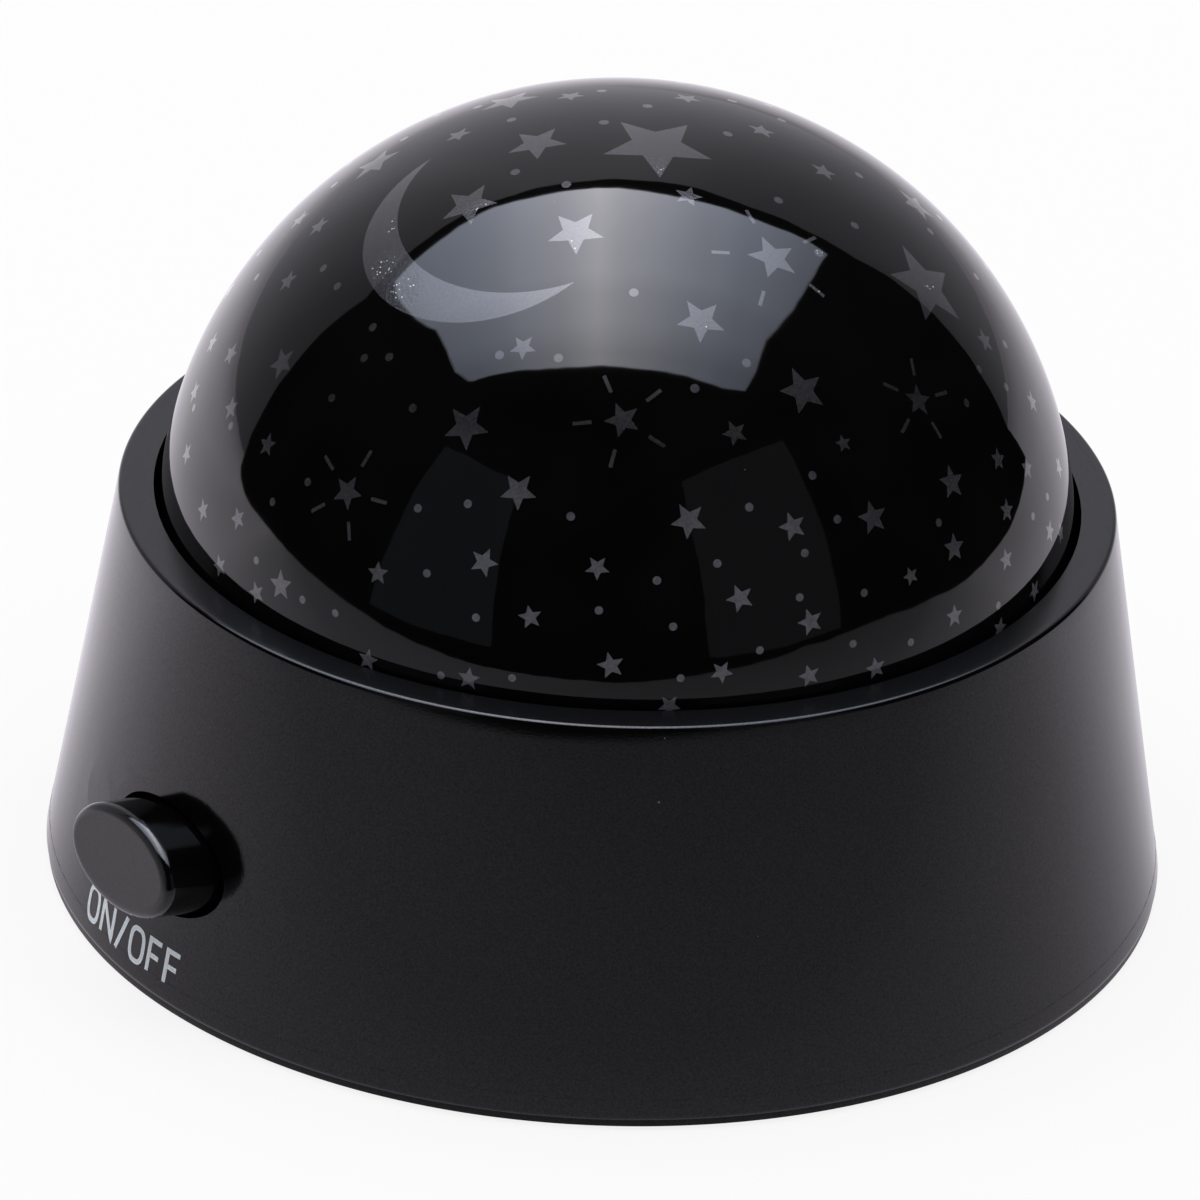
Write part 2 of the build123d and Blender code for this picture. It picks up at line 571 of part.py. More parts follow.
def bottom_cover():
    """Round cover with the battery box on it, the screw pads and the seats for the feet."""
    bottom_r = wall_r(COVER_Z) - WALL_ACROSS - COVER_GAP
    cover = Pos(0, 0, COVER_Z) * extrude(Circle(bottom_r), COVER_T, taper=SLOPE)
    for turn in BOSS_TURNS:
        cover += around(BOSS_PCR, turn) * upright(PAD_R, PAD_TOP - COVER_Z, COVER_Z)
    cover += box_room(COVER_Z, BOX_TOP - COVER_Z, BOX_WALL)
    cover += block(TONGUE_W + 2 * BOX_WALL, TONGUE_L + BOX_WALL, DOOR_BOSS_H, BOX_X, TONGUE_Y, COVER_TOP)
    cover -= box_room(COVER_Z, BOX_ROOF - COVER_Z)
    tongue_room = block(TONGUE_W + 2 * DOOR_GAP, TONGUE_L + DOOR_GAP, COVER_T, BOX_X, 0, COVER_Z)
    cover -= Pos(0, TONGUE_Y + DOOR_GAP / 2, 0) * tongue_room
    cover -= Pos(BOX_X, TONGUE_Y, 0) * upright(DOOR_SCREW_R + DOOR_HOLE_GAP, DOOR_BOSS_H, COVER_Z)
    slot = block(TAB_W + 2 * TAB_SLOT_GAP, BOX_WALL, TAB_SLOT_H, BOX_X, BOX_FRONT - BOX_WALL / 2, COVER_TOP)
    for side in (-1, 1):
        cover -= Pos(side * CELL_PITCH / 2, 0, 0) * slot
    for side in (-1, 1):
        tail_y = BOX_Y + side * (BOX_L - CONTACT_T - TAIL_GAP) / 2
        slit = block(TAIL_W + 2 * TAIL_GAP, CONTACT_T + TAIL_GAP, BOX_WALL, BOX_X, tail_y, BOX_ROOF)
        cover -= Pos(-side * CELL_PITCH, 0, 0) * slit
    for turn in BOSS_TURNS:
        sink = HEAD_SINK + SCREW_HEAD_H
        cover -= around(BOSS_PCR, turn) * upright(SCREW_HEAD_R + HOLE_GAP, sink, COVER_Z)
        cover -= around(BOSS_PCR, turn) * upright(SCREW_R + HOLE_GAP, PAD_TOP - COVER_Z, COVER_Z)
    for turn in FOOT_TURNS:
        cover -= around(FOOT_PCR, turn) * upright(FOOT_R, FOOT_H - COVER_Z, COVER_Z)
    return cover


def cover_screws():
    """Four screws up through the cover into the housing's bosses."""
    seat_z = COVER_Z + HEAD_SINK + SCREW_HEAD_H
    up = small_screw(COVER_SCREW_L)
    return group(around(BOSS_PCR, turn, seat_z) * up for turn in BOSS_TURNS)


def rubber_feet():
    """Four round feet, glued into their seats."""
    foot = upright(FOOT_R, FOOT_H, 0)
    foot = chamfer(foot.edges().sort_by(Axis.Z)[0], FOOT_PROUD / 2)
    return group(around(FOOT_PCR, turn) * foot for turn in FOOT_TURNS)


def battery_door():
    """Flat door under the cells, flush with the cover, with its tabs and tongue."""
    door = box_room(COVER_Z, DOOR_T, -DOOR_GAP)
    door += block(TONGUE_W, TONGUE_L + DOOR_GAP, DOOR_T, BOX_X, TONGUE_Y - DOOR_GAP / 2, COVER_Z)
    tab_z = COVER_TOP + TAB_LIFT
    for side in (-1, 1):
        x = BOX_X + side * CELL_PITCH / 2
        root = block(TAB_W, TAB_T, tab_z + TAB_T - COVER_Z, x, BOX_FRONT + DOOR_GAP + TAB_T / 2, COVER_Z)
        reach = TAB_REACH + DOOR_GAP + TAB_T
        tab = block(TAB_W, reach, TAB_T, x, BOX_FRONT - TAB_REACH + reach / 2, tab_z)
        door += root + tab
    sink = Pos(BOX_X, TONGUE_Y, 0) * upright(DOOR_HEAD_R + HOLE_GAP, DOOR_HEAD_H, COVER_Z)
    hole = Pos(BOX_X, TONGUE_Y, 0) * upright(DOOR_SCREW_R + HOLE_GAP, DOOR_T, COVER_Z)
    return door - sink - hole


def door_screw():
    """Captive screw in the door's tongue."""
    place = Pos(BOX_X, TONGUE_Y, COVER_Z + DOOR_HEAD_H)
    return place * screw(DOOR_HEAD_R, DOOR_HEAD_H, DOOR_SCREW_R, DOOR_SCREW_L)


def cell_turned(place):
    """The middle cell points the other way: 1 when the nub is at the rear, else -1."""
    return -1 if place == 0 else 1


def battery_cell(place):
    """AAA cell with its nub, in its place -1, 0 or 1 across the box."""
    body = upright(CELL_R, CELL_L - NUB_L, 0)
    body = fillet(body.edges().filter_by(GeomType.CIRCLE), NUB_L / 2)
    body += upright(NUB_R, CELL_L, 0)
    toward = cell_turned(place)
    start = BOX_Y + toward * (BOX_L / 2 - CONTACT_T - CELL_L)
    return Pos(BOX_X + place * CELL_PITCH, start, CELL_Z) * Rot(-90 * toward, 0, 0) * body


def battery_springs():
    """Three springs at the cells' flat ends."""
    solids = []
    for place in (-1, 0, 1):
        toward = cell_turned(place)
        start = BOX_Y - toward * (BOX_L / 2 - CONTACT_T)
        spring = Rot(-90 * toward, 0, 0) * coil(CELL_SPRING_R, CELL_SPRING_L, CELL_SPRING_TURNS)
        solids.append(Pos(BOX_X + place * CELL_PITCH, start, CELL_Z) * spring)
    return group(solids)


def battery_contacts():
    """A single contact with its solder tail and a joined pair at each end of the box."""
    low = CELL_Z - CONTACT_DROP
    height = CONTACT_DROP + CONTACT_RISE
    solids = []
    for side in (-1, 1):
        y = BOX_Y + side * (BOX_L - CONTACT_T) / 2
        single_x = BOX_X - side * CELL_PITCH
        single = block(CONTACT_W, CONTACT_T, height, single_x, y, low)
        single += block(TAIL_W, CONTACT_T, BOX_TOP + TAIL_RISE - low, single_x, y, low)
        pair = block(CONTACT_W + CELL_PITCH, CONTACT_T, height, BOX_X + side * CELL_PITCH / 2, y, low)
        solids += [single, pair]
    return group(solids)


def tail_point(side):
    """Where a wire meets a solder tail: on the tail's inner face, above the box."""
    x = BOX_X - side * CELL_PITCH
    return Vector(x, BOX_Y + side * (BOX_L / 2 - CONTACT_T), BOX_TOP + WIRE_LIFT + WIRE_R)


def pin_point(side, beyond=0.0):
    """A switch pin's tip, or a point beyond it on the pin's line."""
    return BUTTON_PLANE.from_local_coords(Vector(side * PIN_SPREAD, 0, SWITCH_BACK - PIN_L - beyond))


def wire_red():
    """From the cells' plus end over the box to the switch."""
    tail = tail_point(1)
    bend = pin_point(1, PIN_LEAD)
    over = Vector(bend.X - SLACK, bend.Y + 3 * SLACK, tail.Z + SLACK)
    middle = Vector(over.X - SLACK, (over.Y + tail.Y) / 2, tail.Z + SLACK / 2)
    near = Vector(tail.X, tail.Y - TAIL_LEAD, tail.Z)
    return wire([pin_point(1), bend, over, middle, near, tail])


def wire_black():
    """From the cells' minus end up to the board."""
    tail = tail_point(-1)
    near = Vector(tail.X, tail.Y + TAIL_LEAD, tail.Z)
    foot = Vector(LED_PCR, -RESISTOR_PITCH, BOARD_Z)
    rise = Vector(foot.X, foot.Y, tail.Z + 2 * SLACK)
    return wire([tail, near, rise, foot])


def wire_switch():
    """From the switch up to the board."""
    bend = pin_point(-1, PIN_LEAD)
    over = Vector(bend.X + 1.5 * SLACK, bend.Y + 1.5 * SLACK, BOX_TOP + WIRE_LIFT + 1.5 * SLACK)
    foot = Vector(-LED_PCR, -RESISTOR_PITCH, BOARD_Z)
    rise = Vector(foot.X, foot.Y, over.Z + SLACK)
    return wire([pin_point(-1), bend, over, rise, foot])


NODES = {
    "housing": housing(),
    "dome_shell": dome_shell(),
    "star_mask": star_mask(),
    "mask_retainer": mask_retainer(),
    "deck_plate": deck_plate(),
    "deck_screws": deck_screws(),
    "led_board": led_board(),
    "board_screws": board_screws(),
    "center_led": Pos(0, 0, BOARD_TOP) * led(),
    "colour_leds": group(around(LED_PCR, turn, BOARD_TOP) * led() for turn in LED_TURNS),
    "resistors": resistors(),
    "star_button": star_button(),
    "button_spring": button_spring(),
    "switch_plunger": switch_plunger(),
    "push_switch": push_switch(),
    "switch_bracket": switch_bracket(),
    "switch_screws": switch_screws(),
    "bottom_cover": bottom_cover(),
    "cover_screws": cover_screws(),
    "rubber_feet": rubber_feet(),
    "battery_door": battery_door(),
    "door_screw": door_screw(),
    "battery_cell_1": battery_cell(-1),
    "battery_cell_2": battery_cell(0),
    "battery_cell_3": battery_cell(1),
    "battery_springs": battery_springs(),
    "battery_contacts": battery_contacts(),
    "wire_red": wire_red(),
    "wire_black": wire_black(),
    "wire_switch": wire_switch(),
}

for name, shape in NODES.items():
    export_step(shape, f"parts/{name}.step")
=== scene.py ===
# Star night light projector: a black conical housing, a glossy dome printed with stars and a
# moon, an oval push button, and the lamp, switch and batteries inside. Everything is in metres,
# in the housing's own frame: +Z up, front at -Y, the ground at z = 0.
import math
import random

import bmesh
import bpy
from mathutils import Matrix, Vector, geometry, kdtree


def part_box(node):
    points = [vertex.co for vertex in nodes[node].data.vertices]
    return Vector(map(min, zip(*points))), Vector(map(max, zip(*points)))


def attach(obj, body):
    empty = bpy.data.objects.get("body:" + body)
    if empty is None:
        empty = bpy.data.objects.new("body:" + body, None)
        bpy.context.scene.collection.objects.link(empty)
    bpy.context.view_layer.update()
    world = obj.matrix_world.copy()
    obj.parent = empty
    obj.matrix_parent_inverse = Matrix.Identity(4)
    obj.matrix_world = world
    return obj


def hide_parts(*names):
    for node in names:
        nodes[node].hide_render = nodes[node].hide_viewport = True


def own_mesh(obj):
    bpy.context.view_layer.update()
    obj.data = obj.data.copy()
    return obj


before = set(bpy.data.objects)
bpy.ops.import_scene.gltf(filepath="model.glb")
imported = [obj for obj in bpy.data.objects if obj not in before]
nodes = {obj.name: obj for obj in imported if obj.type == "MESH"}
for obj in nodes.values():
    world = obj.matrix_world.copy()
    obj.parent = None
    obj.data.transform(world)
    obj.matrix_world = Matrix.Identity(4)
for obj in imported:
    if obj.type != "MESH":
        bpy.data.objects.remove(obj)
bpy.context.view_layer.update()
MM = 0.001


# ---------------------------------------------------------------- housing and bottom cover
# The outer shell and the round cover under it are injection moulded in black ABS. The mould's
# skin is a soft gloss with a very fine grain, a little wavy, and some dust always sits on it.
def new_material(name):
    """An empty node material with its Principled shader, as (material, parts, link, shader)."""
    material = bpy.data.materials.new(name)
    material.use_nodes = True
    tree = material.node_tree
    return material, tree.nodes, tree.links.new, tree.nodes["Principled BSDF"]


def place(parts):
    """The piece's own coordinates, in metres."""
    return parts.new("ShaderNodeTexCoord").outputs["Object"]


def coordinate(parts, link, vector, axis):
    """One coordinate of a place."""
    split = parts.new("ShaderNodeSeparateXYZ")
    link(vector, split.inputs["Vector"])
    return split.outputs[axis]


def noise(parts, link, vector, size, detail=2.0):
    """Cloudy noise whose features are about size metres wide."""
    texture = parts.new("ShaderNodeTexNoise")
    texture.inputs["Scale"].default_value = 1 / size
    texture.inputs["Detail"].default_value = detail
    link(vector, texture.inputs["Vector"])
    return texture.outputs["Fac"]


def share_between(parts, link, value, none_at, all_at):
    """0 where the value is at the first number and 1 where it is at the second, which may be the
    lower one. It stays between these."""
    share = parts.new("ShaderNodeMapRange")
    share.inputs["From Min"].default_value = none_at
    share.inputs["From Max"].default_value = all_at
    link(value, share.inputs["Value"])
    return share.outputs["Result"]


def graded(parts, link, share, stops, interpolation="LINEAR"):
    """Colour by a share, from (share, colour) stops in order. A number is a grey."""
    grade = parts.new("ShaderNodeValToRGB")
    grade.color_ramp.interpolation = interpolation
    marks = grade.color_ramp.elements
    for count, (at, colour) in enumerate(stops):
        mark = marks[count] if count < 2 else marks.new(at)
        mark.position = at
        mark.color = (*colour, 1) if isinstance(colour, tuple) else (colour, colour, colour, 1)
    link(share, grade.inputs["Fac"])
    return grade.outputs["Color"]


def ramp(parts, link, value, low, high, low_at=0.3, high_at=0.7):
    """The value as a blend between two colours, or two greys where they are numbers."""
    return graded(parts, link, value, ((low_at, low), (high_at, high)))


def calculate(parts, link, operation, *values):
    """One step of arithmetic. Each value is a socket or a plain number."""
    step = parts.new("ShaderNodeMath")
    step.operation = operation
    for inlet, value in zip(step.inputs, values):
        if isinstance(value, float):
            inlet.default_value = value
        else:
            link(value, inlet)
    return step.outputs[0]


def bump(parts, link, height, depth, strength=None, under=None):
    """A bump of that depth in metres, of a strength that may vary, on top of another bump if one
    is given."""
    node = parts.new("ShaderNodeBump")
    node.inputs["Distance"].default_value = depth
    node.inputs["Strength"].default_value = 1.0
    link(height, node.inputs["Height"])
    for name, socket in (("Strength", strength), ("Normal", under)):
        if socket is not None:
            link(socket, node.inputs[name])
    return node.outputs["Normal"]


def dust(parts, link, vector, pitch, size, chance):
    """1 on small specks of about size metres, at some of the places pitch metres apart, else 0."""
    cells = parts.new("ShaderNodeTexVoronoi")
    cells.inputs["Scale"].default_value = 1 / pitch
    link(vector, cells.inputs["Vector"])
    near = calculate(parts, link, "LESS_THAN", cells.outputs["Distance"], size / pitch)
    picked = parts.new("ShaderNodeSeparateColor")
    link(cells.outputs["Color"], picked.inputs["Color"])
    rare = calculate(parts, link, "LESS_THAN", picked.outputs["Red"], chance)
    return calculate(parts, link, "MULTIPLY", near, rare)


def mix_colours(parts, link, share, first, second):
    """First colour where share is 0, second where it is 1. Each is a socket or a colour."""
    blend = parts.new("ShaderNodeMix")
    blend.data_type = "RGBA"
    link(share, blend.inputs["Factor"])
    for name, colour in (("A", first), ("B", second)):
        inlet = [inlet for inlet in blend.inputs if inlet.name == name and inlet.type == "RGBA"][0]
        if isinstance(colour, tuple):
            inlet.default_value = (*colour, 1)
        else:
            link(colour, inlet)
    return [outlet for outlet in blend.outputs if outlet.type == "RGBA"][0]


def shaded(colour, share):
    """The colour made darker or paler."""
    return tuple(share * part for part in colour)


SHADE_CLOUD = 6 * MM      # size of the faint clouds in the plastic's colour
SHEEN_CLOUD = 14 * MM     # and in its gloss
GRAIN = 0.22 * MM
GRAIN_DEPTH = 0.004 * MM
WAVE = 16 * MM
DUST_PITCH = 5 * MM
DUST_SIZE = 0.09 * MM
DUST_CHANCE = 0.35
DUST_GREY = (0.16, 0.16, 0.17)


def moulded_plastic(name, colour, roughness, gloss, dusty=True, wave_depth=0.0):
    """Moulded plastic with a fine grain, cloudy sheen, and maybe waves and specks of dust."""
    material, parts, link, shader = new_material(name)
    where = place(parts)
    clouds = noise(parts, link, where, SHADE_CLOUD, 4.0)
    shade = ramp(parts, link, clouds, shaded(colour, 0.96), shaded(colour, 1.03))
    if dusty:
        specks = dust(parts, link, where, DUST_PITCH, DUST_SIZE, DUST_CHANCE)
        shade = mix_colours(parts, link, specks, shade, DUST_GREY)
    link(shade, shader.inputs["Base Color"])
    sheen = noise(parts, link, where, SHEEN_CLOUD, 5.0)
    link(ramp(parts, link, sheen, 0.87 * roughness, 1.13 * roughness), shader.inputs["Roughness"])
    skin = noise(parts, link, where, GRAIN, 3.0)
    link(ramp(parts, link, skin, 0.75 * gloss, 1.25 * gloss), shader.inputs["Specular IOR Level"])
    grain = bump(parts, link, skin, GRAIN_DEPTH)
    if wave_depth:
        grain = bump(parts, link, noise(parts, link, where, WAVE, 1.0), wave_depth, under=grain)
    link(grain, shader.inputs["Normal"])
    return material


HOUSING_BLACK = (0.0020, 0.0017, 0.0021)
# Painted light: the rim's flat top is coloured a little paler than the rest of the black, for the light
# it catches
RIM_TOP_PAINTED_LIGHT = (0.0055, 0.0058, 0.0072)
RIM_SATIN = 0.22          # roughness of the rim's flat top
TOP_FROM = 0.03 * MM      # that top's finish starts this far under it
TOP_FULL = 0.01 * MM      # and is full here
housing_low, housing_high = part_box("housing")
RIM_Z = housing_high.z
LOWER_Z = housing_low.z


def housing_finish():
    """Glossy black, but satin on the flat top of the rim, where a little paler colour is painted light
    from above.
    """
    material = moulded_plastic("housing_black_abs", HOUSING_BLACK, 0.09, 0.38, wave_depth=0.05 * MM)
    parts = material.node_tree.nodes
    link = material.node_tree.links.new
    height = coordinate(parts, link, place(parts), "Z")
    top = share_between(parts, link, height, RIM_Z - TOP_FROM, RIM_Z - TOP_FULL)
    # The top gets its real satin roughness, and its paler colour as painted light
    for name, satin in (("Base Color", RIM_TOP_PAINTED_LIGHT), ("Roughness", (RIM_SATIN, RIM_SATIN, RIM_SATIN))):
        inlet = parts["Principled BSDF"].inputs[name]
        link(mix_colours(parts, link, top, inlet.links[0].from_socket, satin), inlet)
    return material


def dress(node, material):
    """Gives a carried-over node its finish."""
    piece = nodes[node]
    piece.data.materials.clear()
    piece.data.materials.append(material)


housing_black = housing_finish()
for node in ("housing", "bottom_cover", "battery_door"):
    dress(node, housing_black)

# The rounded rim and lower edge get thin turned skins in the same black, with steps fine enough
# for the long reflections on them to run evenly
BASE_R = 57.0 * MM
RIM_R = 50.3 * MM
RIM_ROUND = 0.5 * MM
LOWER_ROUND = 0.8 * MM
SKIN_T = 0.008 * MM
SKIN_DEEP = 0.2 * MM
TOP_RUN = 0.6 * MM        # how far the rim's skin reaches over its flat top,
WALL_RUN = 1.6 * MM       # how far each skin reaches along the wall,
UNDER_RUN = 0.4 * MM      # and how far the lower one reaches under it
SLOPE = math.atan2(BASE_R - RIM_R, RIM_Z - LOWER_Z)
TURN_STEPS = 480


def polar(radius, turn):
    """Point at a radius and a turn in degrees, clockwise from up."""
    return radius * math.sin(math.radians(turn)), radius * math.cos(math.radians(turn))


def circle(radius, points):
    """Evenly spread points of a circle, clockwise from up."""
    return [polar(radius, 360 * step / points) for step in range(points)]


def rounded_edge(centre, radius, first, last, before, after, steps=10):
    """Profile of a rounded edge, from one turn from up to another, with a straight run at each
    end."""
    turns = [first + (last - first) * step / steps for step in range(steps + 1)]
    arc = [Vector(polar(radius, turn)) + centre for turn in turns]
    start = Vector(polar(1, first - 90)) * before + arc[0]
    end = Vector(polar(1, last + 90)) * after + arc[-1]
    return [start] + arc + [end]


def onwards(ring):
    """Each point of a closed ring with the next one."""
    return list(zip(ring, ring[1:] + ring[:1]))


def join_rings(body, here, there):
    """The band of faces between two rings of as many points."""
    return [body.faces.new((first, second, above_second, above_first))
            for (first, second), (above_first, above_second) in zip(onwards(here), onwards(there))]


def finished(body, name):
    """The form as a mesh, with its faces turned outwards."""
    bmesh.ops.recalc_face_normals(body, faces=body.faces)
    mesh = bpy.data.meshes.new(name)
    body.to_mesh(mesh)
    body.free()
    return mesh


def turned_skin(name, profile, inner):
    """Thin ring of the profile's shape and of an inner profile behind it, with crisp ends."""
    body = bmesh.new()
    rings = []
    for radius, height in profile + inner[::-1]:
        rings.append([body.verts.new((x, y, height)) for x, y in circle(radius, TURN_STEPS)])
    for ring, following in onwards(rings):
        for face in join_rings(body, ring, following):
            face.smooth = True
    for corner in (0, len(profile) - 1, len(profile), -1):
        for ends in onwards(rings[corner]):
            body.edges.get(ends).smooth = False
    return finished(body, name)


def add_piece(name, mesh, body, slot, *materials):
    """A mesh as a piece that rides on a body, with the materials given. The slot is not used."""
    piece = bpy.data.objects.new(name, mesh)
    bpy.context.collection.objects.link(piece)
    for material in materials:
        mesh.materials.append(material)
    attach(piece, body)
    return piece


def wall_radius(height):
    """Outer radius of the housing's wall."""
    return BASE_R - (height - LOWER_Z) * math.tan(SLOPE)


WALL_TURN = 90 - math.degrees(SLOPE)      # the wall's outward normal, in degrees from up
rim_in = RIM_ROUND * (1 - math.sin(SLOPE)) / math.cos(SLOPE)
rim_middle = Vector((RIM_R - rim_in, RIM_Z - RIM_ROUND))
lower_in = LOWER_ROUND * (1 + math.sin(SLOPE)) / math.cos(SLOPE)
lower_middle = Vector((BASE_R - lower_in, LOWER_Z + LOWER_ROUND))
for name, middle, radius, first, last, before, after in (
        ("rim_edge", rim_middle, RIM_ROUND, 0, WALL_TURN, TOP_RUN, WALL_RUN),
        ("lower_edge", lower_middle, LOWER_ROUND, WALL_TURN, 180, WALL_RUN, UNDER_RUN)):
    outside = rounded_edge(middle, radius + SKIN_T, first, last, before, after)
    inside = rounded_edge(middle, radius - SKIN_DEEP, first, last, before, after)
    add_piece(name, turned_skin(name, outside, inside), "base", "housing_black", housing_black)

# Under the wall shows the dark lip of the round cover, just clear of the table
LIP_R = 56.7 * MM
LIP_WIDE = 1.1 * MM
LIP_LOW = 0.38 * MM
LIP_HIGH = 1.3 * MM
LIP_ROUND = 0.1 * MM
LIP_BEND = 0.3 * LIP_ROUND      # the rounding's middle point lies this far in, both ways
lip_outside = [Vector(spot) for spot in (
    (LIP_R, LIP_HIGH), (LIP_R, LIP_LOW + LIP_ROUND), (LIP_R - LIP_BEND, LIP_LOW + LIP_BEND),
    (LIP_R - LIP_ROUND, LIP_LOW))]
lip_inside = [Vector((LIP_R - LIP_WIDE, height)) for height in (LIP_HIGH, LIP_LOW)]
lip_black = moulded_plastic("lip_black_abs", (0.0022, 0.0022, 0.0025), 0.35, 0.2)
lip_ring = turned_skin("cover_lip", lip_outside, lip_inside)
add_piece("cover_lip", lip_ring, "base", "housing_black", lip_black)


# ---------------------------------------------------------------- dome
# A dome with a straight skirt, moulded in clear polystyrene and lacquered black on its inside but
# for the stars, the moon, the dots and the dashes. It stands loose in the housing's well.
dome_low, dome_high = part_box("dome_shell")
DOME_R = dome_high.x
DOME_Z = dome_high.z - DOME_R
DOME_WALL = 1.5 * MM
DOME_INSIDE = DOME_R - DOME_WALL
DOME_EDGE = DOME_R * math.pi / 2 + DOME_Z - dome_low.z   # from the top to the foot, along the wall
EDGE_STEPS = 360
INSIDE_STEP = 3           # degrees between the rings of its inner face
SHEET_PITCH = 0.85 * MM
OUTLINE_CLEAR = 0.3 * MM
OUTLINE_MARKS = 6         # marks along each side of an outline, which the sheet's points avoid

# The print, by longitude from the front (left is minus) and latitude. A third number is a star's
# turn, clockwise from pointing up, and a fourth is its radius in millimetres. The moon is a round
# spot less another, and their sizes are angles seen from the dome's centre
MOON = (-46.5, 65.5)
MOON_SPAN = math.radians(16.81)
MOON_BITE = (-42.4, 72.0)
MOON_BITE_SPAN = math.radians(17.54)
STARS = [
    (27.5, 83.7, 59, 5.7), (72, 48, 28, 4.9), (-127, 70.3, 47, 3.1), (-69.5, 77.4, 37, 3.1),
    (-54, 65, 51, 3.0), (-100, 56, 66, 2.8), (-16.5, 66.5, 18, 2.9), (39, 61, 9, 2.7),
    (15.7, 54.2, 49, 2.5), (31.3, 43.3, 66, 2.5), (-24.3, 38, 18, 2.4), (99.5, 51.5, 30, 2.4),
    (-39.3, 26, 12, 1.8), (0.2, 41.5, 48, 1.85), (-14.2, 31.6, 28, 1.9), (9.9, 29.3, 44, 1.85),
    (52, 37.5, 26, 1.7), (52, 26.7, 11, 1.8), (36.8, 26.3, 71, 1.75), (-17.3, 22.5, 16, 1.5),
    (24.5, 27.4, 60, 1.5), (16.3, 19.6, 52, 1.45), (-46, 11.7, 57, 1.6), (49.2, 19.2, 11, 1.5),
    (25.5, 15.6, 58, 1.4), (0, 11.7, 57, 1.4), (-62.5, 35.2, 15, 1.8), (76, 37.6, 28, 1.4),
    (35.3, 35.9, 0, 0.95), (41, 18, 59, 1.0),
]
SMALL_STARS = [
    (18, 39.5, 54), (-56.3, 26.2, 57), (-19, 49.2, 23), (-31.5, 18, 61), (-10.4, 16.8, 56),
    (-2.3, 23.5, 34), (-31, 7.1, 2), (-50, 9.1, 39), (-17.4, 8, 1), (13.7, 10.7, 31), (25, 8.9, 60),
    (34.3, 8, 65), (47.4, 11, 6), (59, 14.2, 2), (71.9, 12.5, 32), (61.5, 19.7, 21),
    (63.3, 25.8, 24), (69.8, 22, 27), (80, 26.8, 39), (-56.8, 16.1, 32), (-65.2, 13.5, 35),
    (-75.2, 16.5, 11), (-58.3, 9.1, 36), (-76.6, 30.3, 56), (-68, 26.3, 34), (-76.8, 42, 27),
    (-85.5, 48.2, 15), (104, 73.6, 31), (-98, 67.8, 4), (147.5, 78, 34), (-140, 77.6, 36),
    (87, 65.8, 13), (24.5, 73, 35), (7.3, 6.7, 35), (56, 6.3, 20), (65, 7.6, 50), (-95.4, 44.6, 10),
    (-86, 27.4, 40), (-82, 22, 20), (81.3, 17, 60), (76, 10.4, 5), (110, 30, 68), (128, 48, 32),
    (140, 20, 16), (155, 38, 49), (170, 14, 40), (176, 58, 18), (-160, 34, 18), (-148, 55, 51),
    (-142, 16, 18), (-120, 42, 66), (-112, 22, 54), (-98, 30, 22), (98, 14, 40), (122, 10, 60),
    (-172, 22, 66), (-128, 8, 24), (-90, 12, 66),
]
DOTS = [
    (-159.5, 78.1), (-123, 66.3), (-103, 74.4), (-84.5, 86.3), (163, 84.6), (-54.5, 72.3),
    (-29.5, 73.8), (90.5, 78.4), (121, 68.3), (96, 60.7), (91.3, 49.8), (70, 59.4), (56.7, 68),
    (52, 59.3), (90.8, 41.5), (-88, 37.3), (-71, 46.8), (-63.6, 46.7), (1.6, 58.3), (22.6, 48),
    (12.4, 45.4), (-22.8, 47.6), (-12, 48.6), (-47, 41.5), (-42.5, 43), (-48.7, 35.4), (-34, 38.3),
    (81.7, 34.6), (69.3, 36), (73.9, 31.6), (-66, 24.7), (-46.3, 25), (-51.2, 20.6), (-28, 27),
    (-21, 29), (-24.7, 19.7), (-17.3, 15.7), (-6.4, 29.4), (-1.8, 18.4), (-21, 7.7), (-12, 9),
    (5.5, 22.2), (7.6, 16.6), (13.5, 24), (18.6, 30.4), (25.7, 24), (24.3, 18.8), (31.3, 27.2),
    (33.5, 17.7), (8.6, 10.2), (18.6, 13), (31.2, 11.8), (39.8, 9.9), (47.5, 22.9), (56, 9.3),
    (67.7, 16.4), (73.5, 16.5), (-51.2, 12.9), (-42, 11.3), (-36.6, 11.4), (28.9, 33), (-79.3, 21),
    (61.8, 34), (-49.2, 45.3),
]
# Stars with five dashes round them: longitude, latitude, turn, and how far out the dashes lie
BURSTS = [(-39.3, 26, 12, 3.85), (0.2, 41.5, 48, 3.95), (52, 37.5, 26, 3.5), (39, 61, 9, 5.4)]
SMALL_STAR_R = 1.15 * MM
DOT_R = 0.39 * MM
SPREAD = 0.004            # small stars and dots grow by this share for each degree of latitude
STAR_WAIST = 0.45
DASH_L = 1.85 * MM
DASH_W = 0.38 * MM
DOT_CORNERS = 12
BACK_DOTS = 60            # scattered over the back,
BACK_SIDE = 84            # up to this many degrees to each side of its middle,
BACK_LOW = 4              # between these latitudes,
BACK_HIGH = 72
BACK_CLEAR = 4.2 * MM     # and further than this from the middles of all other windows


def direction(longitude, latitude):
    """Unit vectors outwards, to the right and upwards at a place on the dome."""
    turn = math.radians(longitude)
    rise = math.radians(latitude)
    out = Vector((math.sin(turn) * math.cos(rise), -math.cos(turn) * math.cos(rise), math.sin(rise)))
    right = Vector((math.cos(turn), math.sin(turn), 0))
    return out, right, out.cross(right)


def flat_spot(out):
    """A direction's point of the flat layout, as far from its middle as the dome's wall is long
    from the top."""
    return Vector((out.x, out.y)).normalized() * DOME_R * math.acos(out.z)


def lay_out(longitude, latitude, shape):
    """A shape's points round a place on the dome, as points of the flat layout."""
    out, right, up = direction(longitude, latitude)
    points = []
    for x, y in shape:
        reach = math.hypot(x, y) / DOME_R
        toward = (right * x + up * y).normalized()
        points.append(flat_spot(out * math.cos(reach) + toward * math.sin(reach)))
    return points


